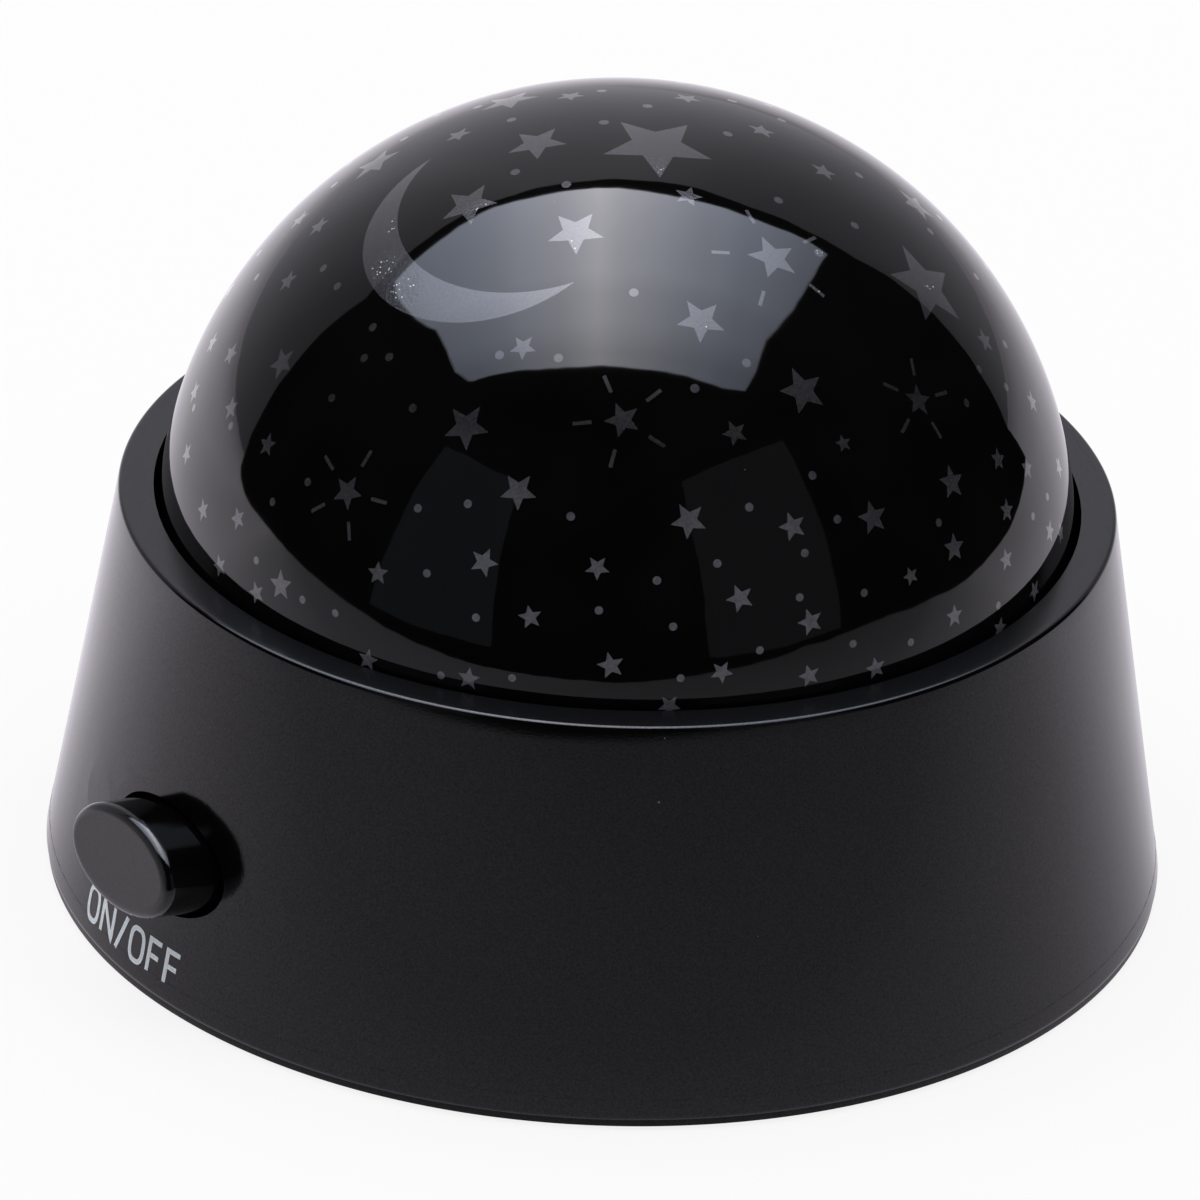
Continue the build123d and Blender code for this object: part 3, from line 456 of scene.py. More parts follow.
def wrap(point, radius):
    """Place and outward direction on the dome, of that radius, for a point of the layout."""
    arc = point.length
    side = point / arc if arc > 0 else Vector((1, 0))
    turn = min(arc / DOME_R, math.pi / 2)
    drop = max(arc - DOME_R * math.pi / 2, 0)
    out = Vector((side.x * math.sin(turn), side.y * math.sin(turn), math.cos(turn)))
    return out * radius + Vector((0, 0, DOME_Z - drop)), out


def star_shape(radius, turn):
    """Five-pointed star."""
    reach = (radius, radius * STAR_WAIST)
    return [polar(reach[corner % 2], turn + 36 * corner) for corner in range(10)]


def dash_shape(turn, middle):
    """Short bar that points away from its star."""
    along = Vector(polar(1, turn))
    across = Vector((along.y, -along.x)) * DASH_W / 2
    near = along * (middle - DASH_L / 2)
    far = along * (middle + DASH_L / 2)
    return [near - across, far - across, far + across, near + across]


def moon_arc(middle, other, span, other_span, inside, steps=40):
    """The part of a round spot's edge that lies inside or outside the other one, as directions."""
    out, right, up = direction(*middle)
    toward = direction(*other)[0]
    apart = out.angle(toward)
    tip = math.acos((math.cos(other_span) - math.cos(apart) * math.cos(span))
                    / (math.sin(apart) * math.sin(span)))
    start = math.atan2(toward.dot(right), toward.dot(up)) + tip
    sweep = -2 * tip if inside else 2 * (math.pi - tip)
    turns = [start + sweep * step / steps for step in range(steps)]
    return [out * math.cos(span) + (right * math.sin(turn) + up * math.cos(turn)) * math.sin(span)
            for turn in turns]


moon = moon_arc(MOON, MOON_BITE, MOON_SPAN, MOON_BITE_SPAN, False)
moon += moon_arc(MOON_BITE, MOON, MOON_BITE_SPAN, MOON_SPAN, True)
windows = [[flat_spot(out) for out in moon]]
for longitude, latitude, turn, radius in STARS:
    windows.append(lay_out(longitude, latitude, star_shape(radius * MM, turn)))
for longitude, latitude, turn in SMALL_STARS:
    reach = SMALL_STAR_R * (1 + SPREAD * latitude)
    windows.append(lay_out(longitude, latitude, star_shape(reach, turn)))
for longitude, latitude, turn, middle in BURSTS:
    for tip in range(5):
        windows.append(lay_out(longitude, latitude, dash_shape(turn + 72 * tip, middle * MM)))
chance = random.Random(4)
taken = [sum(window, Vector((0, 0))) / len(window) for window in windows]
dots = list(DOTS)
while len(dots) < len(DOTS) + BACK_DOTS:
    dot = (180 + chance.uniform(-BACK_SIDE, BACK_SIDE), chance.uniform(BACK_LOW, BACK_HIGH))
    others = taken + [lay_out(*other, [(0, 0)])[0] for other in dots]
    spot = lay_out(*dot, [(0, 0)])[0]
    if min((spot - other).length for other in others) > BACK_CLEAR:
        dots.append(dot)
for longitude, latitude in dots:
    reach = DOT_R * (1 + SPREAD * latitude)
    windows.append(lay_out(longitude, latitude, circle(reach, DOT_CORNERS)))


def dome_mesh():
    """The printed outer face (0 print, 1 window), the plain inner face (2) and the foot."""
    flat = []
    edges = []
    shapes = []
    for window in windows:
        ring = list(range(len(flat), len(flat) + len(window)))
        flat += window
        edges += onwards(ring)
        shapes.append(ring[::-1])
    foot = list(range(len(flat), len(flat) + EDGE_STEPS))
    flat += [Vector(spot) for spot in circle(DOME_EDGE, EDGE_STEPS)]
    marks = [flat[first].lerp(flat[second], share / OUTLINE_MARKS)
             for first, second in edges for share in range(OUTLINE_MARKS)]
    marks += flat[foot[0]:]
    outlines = kdtree.KDTree(len(marks))
    for mark in marks:
        outlines.insert(mark.to_3d(), 0)
    outlines.balance()
    golden = math.pi * (3 - math.sqrt(5))
    count = int(math.pi * DOME_EDGE ** 2 / SHEET_PITCH ** 2)
    for step in range(count):
        turn = golden * step
        reach = math.sqrt((step + 0.5) / count)
        point = Vector((math.cos(turn), math.sin(turn))) * DOME_EDGE * reach
        if outlines.find(point.to_3d())[2] > OUTLINE_CLEAR:
            flat.append(point)
    edges += onwards(foot)
    sheet = geometry.delaunay_2d_cdt(flat, edges, shapes, 0, 1e-8)
    flat, triangles, sources, owners = sheet[0], sheet[2], sheet[3], sheet[5]
    body = bmesh.new()
    outer = [body.verts.new(wrap(Vector(point), DOME_R)[0]) for point in flat]
    places = {source: place for place, group in enumerate(sources) for source in group}
    for triangle, owner in zip(triangles, owners):
        face = body.faces.new([outer[corner] for corner in triangle])
        face.material_index = 1 if owner else 0
    rings = [[outer[places[corner]] for corner in foot]]
    top = body.verts.new(Vector((0, 0, DOME_Z + DOME_INSIDE)))
    levels = [(DOME_INSIDE, dome_low.z)]
    for turn in range(0, 90, INSIDE_STEP):
        rise, radius = polar(DOME_INSIDE, turn)
        levels.append((radius, DOME_Z + rise))
    for radius, height in levels:
        rings.append([body.verts.new((x, y, height)) for x, y in circle(radius, EDGE_STEPS)])
    inner = []
    for lower, upper in zip(rings, rings[1:]):
        inner += join_rings(body, lower, upper)
    inner += [body.faces.new((*ends, top)) for ends in onwards(rings[-1])]
    for face in inner:
        face.material_index = 2
    for face in body.faces:
        face.smooth = True
    mesh = finished(body, "printed_dome")
    normals = []
    for face in mesh.polygons:
        for corner in face.vertices:
            spot = mesh.vertices[corner].co
            out = Vector((spot.x, spot.y, max(spot.z - DOME_Z, 0))).normalized()
            if face.material_index == 2:
                out = -out if abs(face.normal.z) < 0.99 or spot.z > DOME_Z else Vector((0, 0, -1))
            normals.append(out)
    mesh.normals_split_custom_set(normals)
    return mesh


# Painted light: the film's level behind the windows, by the share of the dome's height, in the dome's
# middle and at its sides, stands in for the light that reaches it through the windows
PAINTED_LIGHT_MIDDLE = [
    (0, 0.11), (0.2, 0.10), (0.42, 0.08), (0.52, 0.062), (0.62, 0.02), (0.85, 0.036), (1, 0.036),
]
PAINTED_LIGHT_SIDES = [
    (0, 0.12), (0.2, 0.085), (0.35, 0.037), (0.5, 0.024), (0.62, 0.015), (0.85, 0.033), (1, 0.036),
]
FILM_TINT = (1.0, 0.99, 1.16)
MIDDLE_REACH = 15 * MM
SIDES_FROM = 25 * MM
CREASE = 0.35 * MM
CRINKLE_DEPTH = 0.06 * MM
PAINTED_GLINT_PITCH = 0.28 * MM
PAINTED_GLINT_SIZE = 0.08 * MM
PAINTED_GLINT_CHANCE = 0.35
PAINTED_GLINT_WHITE = (0.75, 0.77, 0.82)
DOME_IOR = 1.47
# Where the film is crumpled, with painted glints near the middle: longitude, latitude and reach in
# millimetres
CRUMPLES_AND_PAINTED_GLINTS = [
    (-49, 51.3, 2.8), (-57.5, 52.2, 2.8), (-65.9, 56.9, 1.9), (19.1, 78.3, 1.3), (23.6, 72, 1.5),
    (-15.4, 64.7, 1.7), (44.2, 54.4, 1.6), (52.6, 59, 1.2), (16, 53, 1.4), (-47.7, 65.3, 2.2),
    (73, 48, 1.8), (137, 72, 3), (-150, 50, 3),
]


def print_finish():
    """Gloss of the clear wall over black lacquer, a little wavy, with dust on it."""
    material, parts, link, shader = new_material("dome_black_print")
    where = place(parts)
    shade = ramp(parts, link, noise(parts, link, where, 9 * MM, 3.0), 0.0016, 0.0026)
    specks = dust(parts, link, where, 4 * MM, 0.08 * MM, 0.3)
    link(mix_colours(parts, link, specks, shade, (0.05, 0.05, 0.055)), shader.inputs["Base Color"])
    sheen = ramp(parts, link, noise(parts, link, where, 20 * MM, 4.0), 0.025, 0.05)
    link(sheen, shader.inputs["Roughness"])
    waves = noise(parts, link, where, 5 * MM, 1.5)
    link(bump(parts, link, waves, 0.02 * MM), shader.inputs["Normal"])
    shader.inputs["IOR"].default_value = DOME_IOR
    return material


def multiply(parts, link, first, second):
    """Two colours multiplied. The second is a socket or a colour."""
    product = parts.new("ShaderNodeVectorMath")
    product.operation = "MULTIPLY"
    link(first, product.inputs[0])
    if isinstance(second, tuple):
        product.inputs[1].default_value = second
    else:
        link(second, product.inputs[1])
    return product.outputs["Vector"]


def measure(parts, link, operation, vector, other):
    """A place's distance from another one, or its reach along a direction."""
    length = parts.new("ShaderNodeVectorMath")
    length.operation = operation
    length.inputs[1].default_value = other
    link(vector, length.inputs[0])
    return length.outputs["Value"]


def window_finish():
    """Unprinted wall: a crinkled film shows behind it, its colour painted light that is paler towards the
    middle and the foot, with painted glints on its crumpled spots.
    """
    material, parts, link, shader = new_material("dome_clear_window")
    where = place(parts)
    # Painted light: the film's level, by its height on the dome and its distance from the middle
    height = share_between(parts, link, coordinate(parts, link, where, "Z"), DOME_Z, dome_high.z)
    greys = []
    for levels in (PAINTED_LIGHT_MIDDLE, PAINTED_LIGHT_SIDES):
        stops = [(at, shaded(FILM_TINT, level)) for at, level in levels]
        greys.append(graded(parts, link, height, stops))
    across = calculate(parts, link, "ABSOLUTE", coordinate(parts, link, where, "X"))
    aside = share_between(parts, link, across, MIDDLE_REACH, SIDES_FROM)
    film = mix_colours(parts, link, aside, *greys)
    creases = noise(parts, link, where, CREASE, 3.0)
    shade = multiply(parts, link, film, ramp(parts, link, creases, 0.82, 1.2, 0.35, 0.65))
    crumpled_and_glinting = 0.0
    for longitude, latitude, reach in CRUMPLES_AND_PAINTED_GLINTS:
        middle = direction(longitude, latitude)[0] * DOME_R + Vector((0, 0, DOME_Z))
        far = measure(parts, link, "DISTANCE", where, middle)
        near = share_between(parts, link, far, reach * MM, 0.0)
        crumpled_and_glinting = calculate(parts, link, "MAXIMUM", crumpled_and_glinting, near)
    # Painted glints: pale specks in the film's colour, near the middle of each crumpled spot, stand in
    # for highlights
    painted_glint_specks = dust(parts, link, where, PAINTED_GLINT_PITCH, PAINTED_GLINT_SIZE, PAINTED_GLINT_CHANCE)
    painted_glint_middles = ramp(parts, link, crumpled_and_glinting, 0.0, 1.0, 0.45, 0.55)
    painted_glints = calculate(parts, link, "MULTIPLY", painted_glint_specks, painted_glint_middles)
    link(mix_colours(parts, link, painted_glints, shade, PAINTED_GLINT_WHITE), shader.inputs["Base Color"])
    crinkled = ramp(parts, link, crumpled_and_glinting, 0.12, 1.0, 0.0, 0.5)
    link(bump(parts, link, creases, CRINKLE_DEPTH, strength=crinkled), shader.inputs["Normal"])
    shader.inputs["Roughness"].default_value = 0.2
    shader.inputs["Specular IOR Level"].default_value = 0.28
    shader.inputs["Coat Weight"].default_value = 1.0
    shader.inputs["Coat Roughness"].default_value = 0.03
    return material


dome_print = print_finish()
dome_window = window_finish()
dome_inside = moulded_plastic("dome_clear_inside", (0.05, 0.05, 0.052), 0.12, 0.5, False)
dome = add_piece("printed_dome", dome_mesh(), "dome", "dome_clear", dome_print, dome_window, dome_inside)
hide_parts("dome_shell")


# ---------------------------------------------------------------- star mask and its ring
# A thin lining formed from black plastic film, with the stars and the moon cut out, and the ring
# that sits in the dome's skirt and holds the lining up.
mask_black = moulded_plastic("mask_black_matt", (0.013, 0.013, 0.014), 0.55, 0.35, False)
for node in ("star_mask", "mask_retainer"):
    dress(node, mask_black)


# ---------------------------------------------------------------- star button
# An oval push button in polished black ABS with a finely textured face, on a white plunger with a
# steel return spring round it.
BUTTON_TURN = math.radians(53)
BUTTON_NORMAL = Vector((-math.sin(BUTTON_TURN) * math.cos(SLOPE),
                        -math.cos(BUTTON_TURN) * math.cos(SLOPE), math.sin(SLOPE)))
FACE_FROM = 0.35 * MM     # the face's finish starts this far under it
FACE_FULL = 0.1 * MM      # and is full here
FACE_GRAIN = 0.3 * MM
FACE_DEPTH = 0.012 * MM


def button_finish():
    """Polished sides, and a satin face with a fine texture."""
    material, parts, link, shader = new_material("button_black_abs")
    where = place(parts)
    face_at = max(vertex.co.dot(BUTTON_NORMAL) for vertex in nodes["star_button"].data.vertices)
    out = measure(parts, link, "DOT_PRODUCT", where, BUTTON_NORMAL)
    face = share_between(parts, link, out, face_at - FACE_FROM, face_at - FACE_FULL)
    mottle = noise(parts, link, where, FACE_GRAIN, 4.0)
    face_shade = ramp(parts, link, mottle, (0.019, 0.018, 0.019), (0.031, 0.030, 0.032))
    shade = mix_colours(parts, link, face, (0.0016, 0.0016, 0.0019), face_shade)
    specks = dust(parts, link, where, 4 * MM, 0.08 * MM, 0.35)
    link(mix_colours(parts, link, specks, shade, (0.14, 0.14, 0.15)), shader.inputs["Base Color"])
    link(ramp(parts, link, face, 0.09, 0.3, 0.0, 1.0), shader.inputs["Roughness"])
    link(bump(parts, link, mottle, FACE_DEPTH, strength=face), shader.inputs["Normal"])
    shader.inputs["Specular IOR Level"].default_value = 0.5
    return material


dress("star_button", button_finish())
plunger_white = moulded_plastic("plunger_white_nylon", (0.72, 0.71, 0.67), 0.4, 0.5, False)
dress("switch_plunger", plunger_white)


def bare_metal(name, colour, roughness):
    """Bare or plated metal with the fine marks of drawing and rolling."""
    material, parts, link, shader = new_material(name)
    marks = noise(parts, link, place(parts), 0.5 * MM, 4.0)
    shade = ramp(parts, link, marks, shaded(colour, 0.8), shaded(colour, 1.05))
    link(shade, shader.inputs["Base Color"])
    link(ramp(parts, link, marks, roughness - 0.06, roughness + 0.08), shader.inputs["Roughness"])
    link(bump(parts, link, marks, 0.01 * MM), shader.inputs["Normal"])
    shader.inputs["Metallic"].default_value = 1.0
    return material


# The return spring, with its end turns closed, stands between the switch and the button's flange.
# It shortens as the button goes in
BUTTON_UP = 14.7 * MM     # the button's middle, above the wall's lower edge
BUTTON_Z = LOWER_Z + BUTTON_UP
SPRING_R = 3.2 * MM
SPRING_WIRE_R = 0.3 * MM
SPRING_CLEAR = 0.03 * MM
SPRING_TURNS = 5
END_RISE = 2.1 * SPRING_WIRE_R      # how far a closed end turn rises
TURN_POINTS = 40
WIRE_POINTS = 12


def spring_mesh(foot, head):
    """Coil of round wire from foot to head, two points on its axis."""
    along = (head - foot).normalized()
    side = along.cross(Vector((0, 0, 1))).normalized()
    other = along.cross(side)
    rise = (head - foot).length - 2 * SPRING_WIRE_R
    stations = ((0, 0), (1, END_RISE), (SPRING_TURNS - 1, rise - END_RISE), (SPRING_TURNS, rise))
    path = []
    for (turn_from, from_rise), (turn_to, to_rise) in zip(stations, stations[1:]):
        steps = TURN_POINTS * (turn_to - turn_from)
        for step in range(steps + (turn_to == SPRING_TURNS)):
            turn = 2 * math.pi * (turn_from + step / TURN_POINTS)
            height = from_rise + (to_rise - from_rise) * step / steps + SPRING_WIRE_R
            round_axis = (side * math.cos(turn) + other * math.sin(turn)) * SPRING_R
            path.append(foot + along * height + round_axis)
    body = bmesh.new()
    rings = []
    for count, spot in enumerate(path):
        run = (path[min(count + 1, len(path) - 1)] - path[max(count - 1, 0)]).normalized()
        out = (spot - foot) - along * (spot - foot).dot(along)
        out = (out - run * out.dot(run)).normalized()
        over = run.cross(out)
        section = circle(SPRING_WIRE_R, WIRE_POINTS)
        rings.append([body.verts.new(spot + out * x + over * y) for x, y in section])
    for here, there in zip(rings, rings[1:]):
        for face in join_rings(body, here, there):
            face.smooth = True
    body.faces.new(rings[0])
    body.faces.new(rings[-1])
    return finished(body, "return_spring")


spring_steel = bare_metal("spring_steel", (0.56, 0.54, 0.50), 0.3)
spring_reach = [vertex.co.dot(BUTTON_NORMAL) for vertex in nodes["button_spring"].data.vertices]
axis_spot = Vector((-math.sin(BUTTON_TURN), -math.cos(BUTTON_TURN), 0)) * wall_radius(BUTTON_Z)
axis_spot.z = BUTTON_Z
axis_reach = axis_spot.dot(BUTTON_NORMAL)
spring_foot, spring_head = [
    axis_spot + BUTTON_NORMAL * (reach - axis_reach)
    for reach in (min(spring_reach) + SPRING_CLEAR, max(spring_reach) - SPRING_CLEAR)]
spring_coil = spring_mesh(spring_foot, spring_head)
return_spring = add_piece("return_spring", spring_coil, "button", "spring_steel", spring_steel)
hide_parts("button_spring")
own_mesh(return_spring)


# ---------------------------------------------------------------- on and off mark
# The mark under the button is pad printed on the wall in pale blue-grey ink, which stands a hair
# proud and is paler at its edges.
MARK_H = 4.0 * MM
MARK_STROKE = 0.52 * MM
MARK_EDGE = 0.1 * MM
MARK_GAP = 1.05 * MM
MARK_LOW = 2.95 * MM      # its lower edge, above the ground
MARK_TURN = math.radians(-56.6)
INK_T = 0.03 * MM
MARK_PIECE = 0.5 * MM     # strokes are laid in pieces of about this length, to follow the wall
MARK_MITRE = 0.6          # a sharp corner is cut off where it would stand out further than this
O_SQUARE = 0.7            # how square the O is: an ellipse is 1
O_POINTS = 30


def squared(share):
    """A sine or cosine pushed out towards the sides of the letter's box, as a share of it."""
    return 0.5 + 0.5 * math.copysign(abs(share) ** O_SQUARE, share)


# Strokes of each letter on its own box, as shares of its width and height
O_TURNS = [math.radians(360 / O_POINTS * step) for step in range(O_POINTS)]
MARK_LETTERS = {
    "O": (2.3 * MM, [[(squared(math.sin(turn)), squared(math.cos(turn))) for turn in O_TURNS]]),
    "N": (2.35 * MM, [[(0, 0), (0, 1), (1, 0), (1, 1)]]),
    "/": (1.5 * MM, [[(0, -0.06), (1, 1.06)]]),
    "F": (1.85 * MM, [[(0, 0), (0, 1), (1, 1)], [(0.17, 0.52), (0.86, 0.52)]]),
}


def ribbon(stroke, closed):
    """Four points across the stroke at each place along it: its edges and its middle band."""
    reach = MARK_STROKE / 2
    places = (-reach, MARK_EDGE - reach, reach - MARK_EDGE, reach)
    rows = []
    for count, spot in enumerate(stroke):
        before = stroke[count - 1] if count or closed else None
        after = stroke[(count + 1) % len(stroke)] if count + 1 < len(stroke) or closed else None
        run_in = (spot - before).normalized() if before is not None else (after - spot).normalized()
        run_out = (after - spot).normalized() if after is not None else run_in
        along = (run_in + run_out).normalized()
        across = Vector((along.y, -along.x)) / max(along.dot(run_in), MARK_MITRE)
        rows.append([spot + across * place for place in places])
    return rows


def on_wall(point, lift):
    """Place on the wall for a point of the mark's flat layout."""
    height = MARK_LOW + point.y * math.cos(SLOPE)
    radius = wall_radius(height) + lift
    turn = MARK_TURN + point.x / radius
    return Vector((radius * math.sin(turn), -radius * math.cos(turn), height))


def fine_stroke(corners, closed):
    """A stroke's corners with enough points between them."""
    stroke = []
    for first, second in onwards(corners) if closed else onwards(corners)[:-1]:
        pieces = max(1, round((second - first).length / MARK_PIECE))
        stroke += [first.lerp(second, piece / pieces) for piece in range(pieces)]
    return stroke if closed else stroke + [corners[-1]]


def ink_stroke(body, stroke, closed):
    """A stroke of even width on the wall, with its inked edges as material 1."""
    rows = ribbon(stroke, closed)
    tops = [[body.verts.new(on_wall(point, INK_T)) for point in row] for row in rows]
    feet = [[body.verts.new(on_wall(point, -INK_T)) for point in (row[0], row[3])] for row in rows]
    places = list(range(len(rows)))
    for here, there in onwards(places) if closed else onwards(places)[:-1]:
        for band in range(3):
            quad = (tops[here][band], tops[there][band], tops[there][band + 1], tops[here][band + 1])
            body.faces.new(quad).material_index = 0 if band == 1 else 1
        for side, edge in ((0, 0), (1, 3)):
            quad = (tops[here][edge], tops[there][edge], feet[there][side], feet[here][side])
            body.faces.new(quad).material_index = 1
    if not closed:
        for end in (0, -1):
            body.faces.new((*tops[end], feet[end][1], feet[end][0])).material_index = 1


def mark_mesh():
    """ON/OFF, letter by letter from the left."""
    body = bmesh.new()
    widths = [MARK_LETTERS[letter][0] for letter in "ON/OFF"]
    left = -(sum(widths) + MARK_GAP * (len(widths) - 1)) / 2
    inset = MARK_STROKE / 2
    for letter, width in zip("ON/OFF", widths):
        closed = letter == "O"
        for shares in MARK_LETTERS[letter][1]:
            corners = [Vector((left + x * width, inset + y * (MARK_H - 2 * inset))) for x, y in shares]
            ink_stroke(body, fine_stroke(corners, closed), closed)
        left += width + MARK_GAP
    return finished(body, "on_off_mark")


mark_ink = moulded_plastic("mark_ink_blue_grey", (0.76, 0.83, 0.92), 0.45, 0.3, False)
mark_ink_edge = moulded_plastic("mark_ink_edge", (0.93, 0.96, 1.0), 0.45, 0.3, False)
add_piece("on_off_mark", mark_mesh(), "base", "bracket_grey", mark_ink, mark_ink_edge)


# ---------------------------------------------------------------- deck plate
# A plate moulded in white ABS and held on the housing's inner ledge by three zinc-plated screws.
# It closes the well under the dome and carries the lamps in its raised middle.
deck_white = moulded_plastic("deck_white_abs", (0.70, 0.70, 0.68), 0.45, 0.4)
dress("deck_plate", deck_white)
screw_zinc = bare_metal("screw_zinc", (0.60, 0.61, 0.60), 0.3)
dress("deck_screws", screw_zinc)


# ---------------------------------------------------------------- lamp board
# A round fibreglass board under green solder resist, screwed up under the plate's raised middle.
# It carries four epoxy lamps, a clear one in the middle that throws the stars and a red, a green
# and a blue one round it, and three chip resistors.
TRACK_PITCH = 5 * MM


def board_finish():
    """Green solder resist over copper tracks."""
    material, parts, link, shader = new_material("board_green_resist")
    where = place(parts)
    tracks = parts.new("ShaderNodeTexBrick")
    tracks.inputs["Scale"].default_value = 1 / TRACK_PITCH
    tracks.inputs["Mortar Size"].default_value = 0.06
    tracks.inputs["Color1"].default_value = (0.012, 0.11, 0.035, 1)
    tracks.inputs["Color2"].default_value = (0.014, 0.13, 0.04, 1)
    tracks.inputs["Mortar"].default_value = (0.03, 0.20, 0.06, 1)
    link(where, tracks.inputs["Vector"])
    link(tracks.outputs["Color"], shader.inputs["Base Color"])
    link(bump(parts, link, tracks.outputs["Fac"], 0.02 * MM), shader.inputs["Normal"])
    sheen = ramp(parts, link, noise(parts, link, where, 3 * MM), 0.25, 0.4)
    link(sheen, shader.inputs["Roughness"])
    return material


board_green = board_finish()
dress("led_board", board_green)
dress("board_screws", screw_zinc)


def lamp_finish(name, *colours):
    """Cast epoxy lamp body with faint flow lines, in one colour, or in the colours of the lamps
    behind, on the left and on the right."""
    material, parts, link, shader = new_material(name)
    where = place(parts)
    swirl = noise(parts, link, where, 2 * MM)
    shades = [ramp(parts, link, swirl, shaded(colour, 0.8), colour) for colour in colours]
    shade = shades[0]
    if len(shades) == 3:
        right, behind = [calculate(parts, link, "GREATER_THAN", coordinate(parts, link, where, axis), 0.0)
                         for axis in ("X", "Y")]
        sides = mix_colours(parts, link, right, shades[1], shades[2])
        shade = mix_colours(parts, link, behind, sides, shades[0])
    link(shade, shader.inputs["Base Color"])
    link(ramp(parts, link, swirl, 0.05, 0.1), shader.inputs["Roughness"])
    shader.inputs["Coat Weight"].default_value = 0.6
    shader.inputs["Coat Roughness"].default_value = 0.05
    return material


dress("center_led", lamp_finish("lamp_clear", (0.55, 0.57, 0.60)))
dress("colour_leds", lamp_finish("lamps_red_green_blue", (0.45, 0.03, 0.02), (0.03, 0.32, 0.07),
                                 (0.03, 0.09, 0.5)))
chip_black = moulded_plastic("chip_black", (0.02, 0.02, 0.021), 0.4, 0.5, False)
dress("resistors", chip_black)


# ---------------------------------------------------------------- push switch
# A latching push switch in a blue nylon case stands behind the button, in the square hole of a
# flat grey ABS bracket. Two screws hold the bracket on bosses of the wall.
switch_blue = moulded_plastic("switch_blue_case", (0.03, 0.10, 0.38), 0.38, 0.5, False)
dress("push_switch", switch_blue)
bracket_grey = moulded_plastic("bracket_grey_abs", (0.30, 0.31, 0.32), 0.5, 0.4, False)
dress("switch_bracket", bracket_grey)
dress("switch_screws", screw_zinc)


# ---------------------------------------------------------------- battery bay
# Three AAA cells lie side by side in the bottom cover's box, over a door that one screw holds.
# Nickel-plated springs and plates at the box's ends connect them. Four screws hold the cover.
CELL_STEEL = (0.55, 0.54, 0.52)
CELL_GOLD = (0.50, 0.30, 0.09)
CELL_GREEN = (0.015, 0.11, 0.05)
# Each cell's bands, by where they start along the box. The middle cell lies the other way round
OUTER_BANDS = ((0, CELL_STEEL), (0.035, CELL_GOLD), (0.24, CELL_GREEN), (0.965, CELL_STEEL))
MIDDLE_BANDS = ((0, CELL_STEEL), (0.035, CELL_GREEN), (0.76, CELL_GOLD), (0.965, CELL_STEEL))


def cell_finish(node, bands):
    """Printed jacket in bands along the cell, and bare steel ends."""
    material, parts, link, shader = new_material(node + "_print")
    where = place(parts)
    low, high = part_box(node)
    along = share_between(parts, link, coordinate(parts, link, where, "Y"), low.y, high.y)
    jacket = graded(parts, link, along, bands, "CONSTANT")
    scuffs = ramp(parts, link, noise(parts, link, where, 3 * MM, 4.0), 0.85, 1.1)
    link(multiply(parts, link, jacket, scuffs), shader.inputs["Base Color"])
    link(ramp(parts, link, noise(parts, link, where, 1 * MM), 0.22, 0.34), shader.inputs["Roughness"])
    shader.inputs["Metallic"].default_value = 0.5
    return material


for node, bands in (("battery_cell_1", OUTER_BANDS), ("battery_cell_2", MIDDLE_BANDS),
                    ("battery_cell_3", OUTER_BANDS)):
    dress(node, cell_finish(node, bands))
for node in ("battery_springs", "battery_contacts"):
    dress(node, spring_steel)
for node in ("cover_screws", "door_screw"):
    dress(node, screw_zinc)


# ---------------------------------------------------------------- wires
# Thin stranded copper wires in PVC jackets, soldered at both ends: the red one runs from the
# cells to the switch, and the black and the white one up to the lamp board.
for node, colour in (("wire_red", (0.42, 0.02, 0.015)), ("wire_black", (0.02, 0.02, 0.02)),
                     ("wire_switch", (0.62, 0.61, 0.58))):
    dress(node, moulded_plastic(node + "_pvc", colour, 0.4, 0.5, False))


# ---------------------------------------------------------------- rubber feet
# Four round feet moulded in dark grey rubber, glued in shallow seats under the bottom cover. They
# stand a little proud of it and keep the projector from sliding.
foot_rubber = moulded_plastic("foot_grey_rubber", (0.045, 0.045, 0.047), 0.75, 0.3)
dress("rubber_feet", foot_rubber)


# ---------------------------------------------------------------- table top and studio
# The projector stands on a pale table with no edge in sight. A wide soft light hangs over and
# behind it. What the gloss shows of the dim room round it is built as stage pieces.
def seen_directly(parts, link):
    """1 for rays that the camera, a gloss or a clear part sends, else 0."""
    rays = parts.new("ShaderNodeLightPath")
    total = rays.outputs["Is Camera Ray"]
    for kind in ("Is Glossy Ray", "Is Transmission Ray"):
        add = parts.new("ShaderNodeMath")
        add.operation = "ADD"
        add.use_clamp = True
        link(total, add.inputs[0])
        link(rays.outputs[kind], add.inputs[1])
        total = add.outputs[0]
    return total


def levels_along(parts, link, axis, stops):
    """Grey level, or colour, by the place along an axis in metres."""
    first, last = stops[0][0], stops[-1][0]
    share = share_between(parts, link, coordinate(parts, link, place(parts), axis), first, last)
    return graded(parts, link, share, [((at - first) / (last - first), level) for at, level in stops])


def stage_piece(name, corners, material, faces=None):
    """Stage piece of flat faces, or of one face through all its corners."""
    mesh = bpy.data.meshes.new(name)
    mesh.from_pydata(corners, [], faces or [tuple(range(len(corners)))])
    mesh.materials.append(material)
    item = bpy.data.objects.new(name, mesh)
    bpy.context.collection.objects.link(item)
    return item


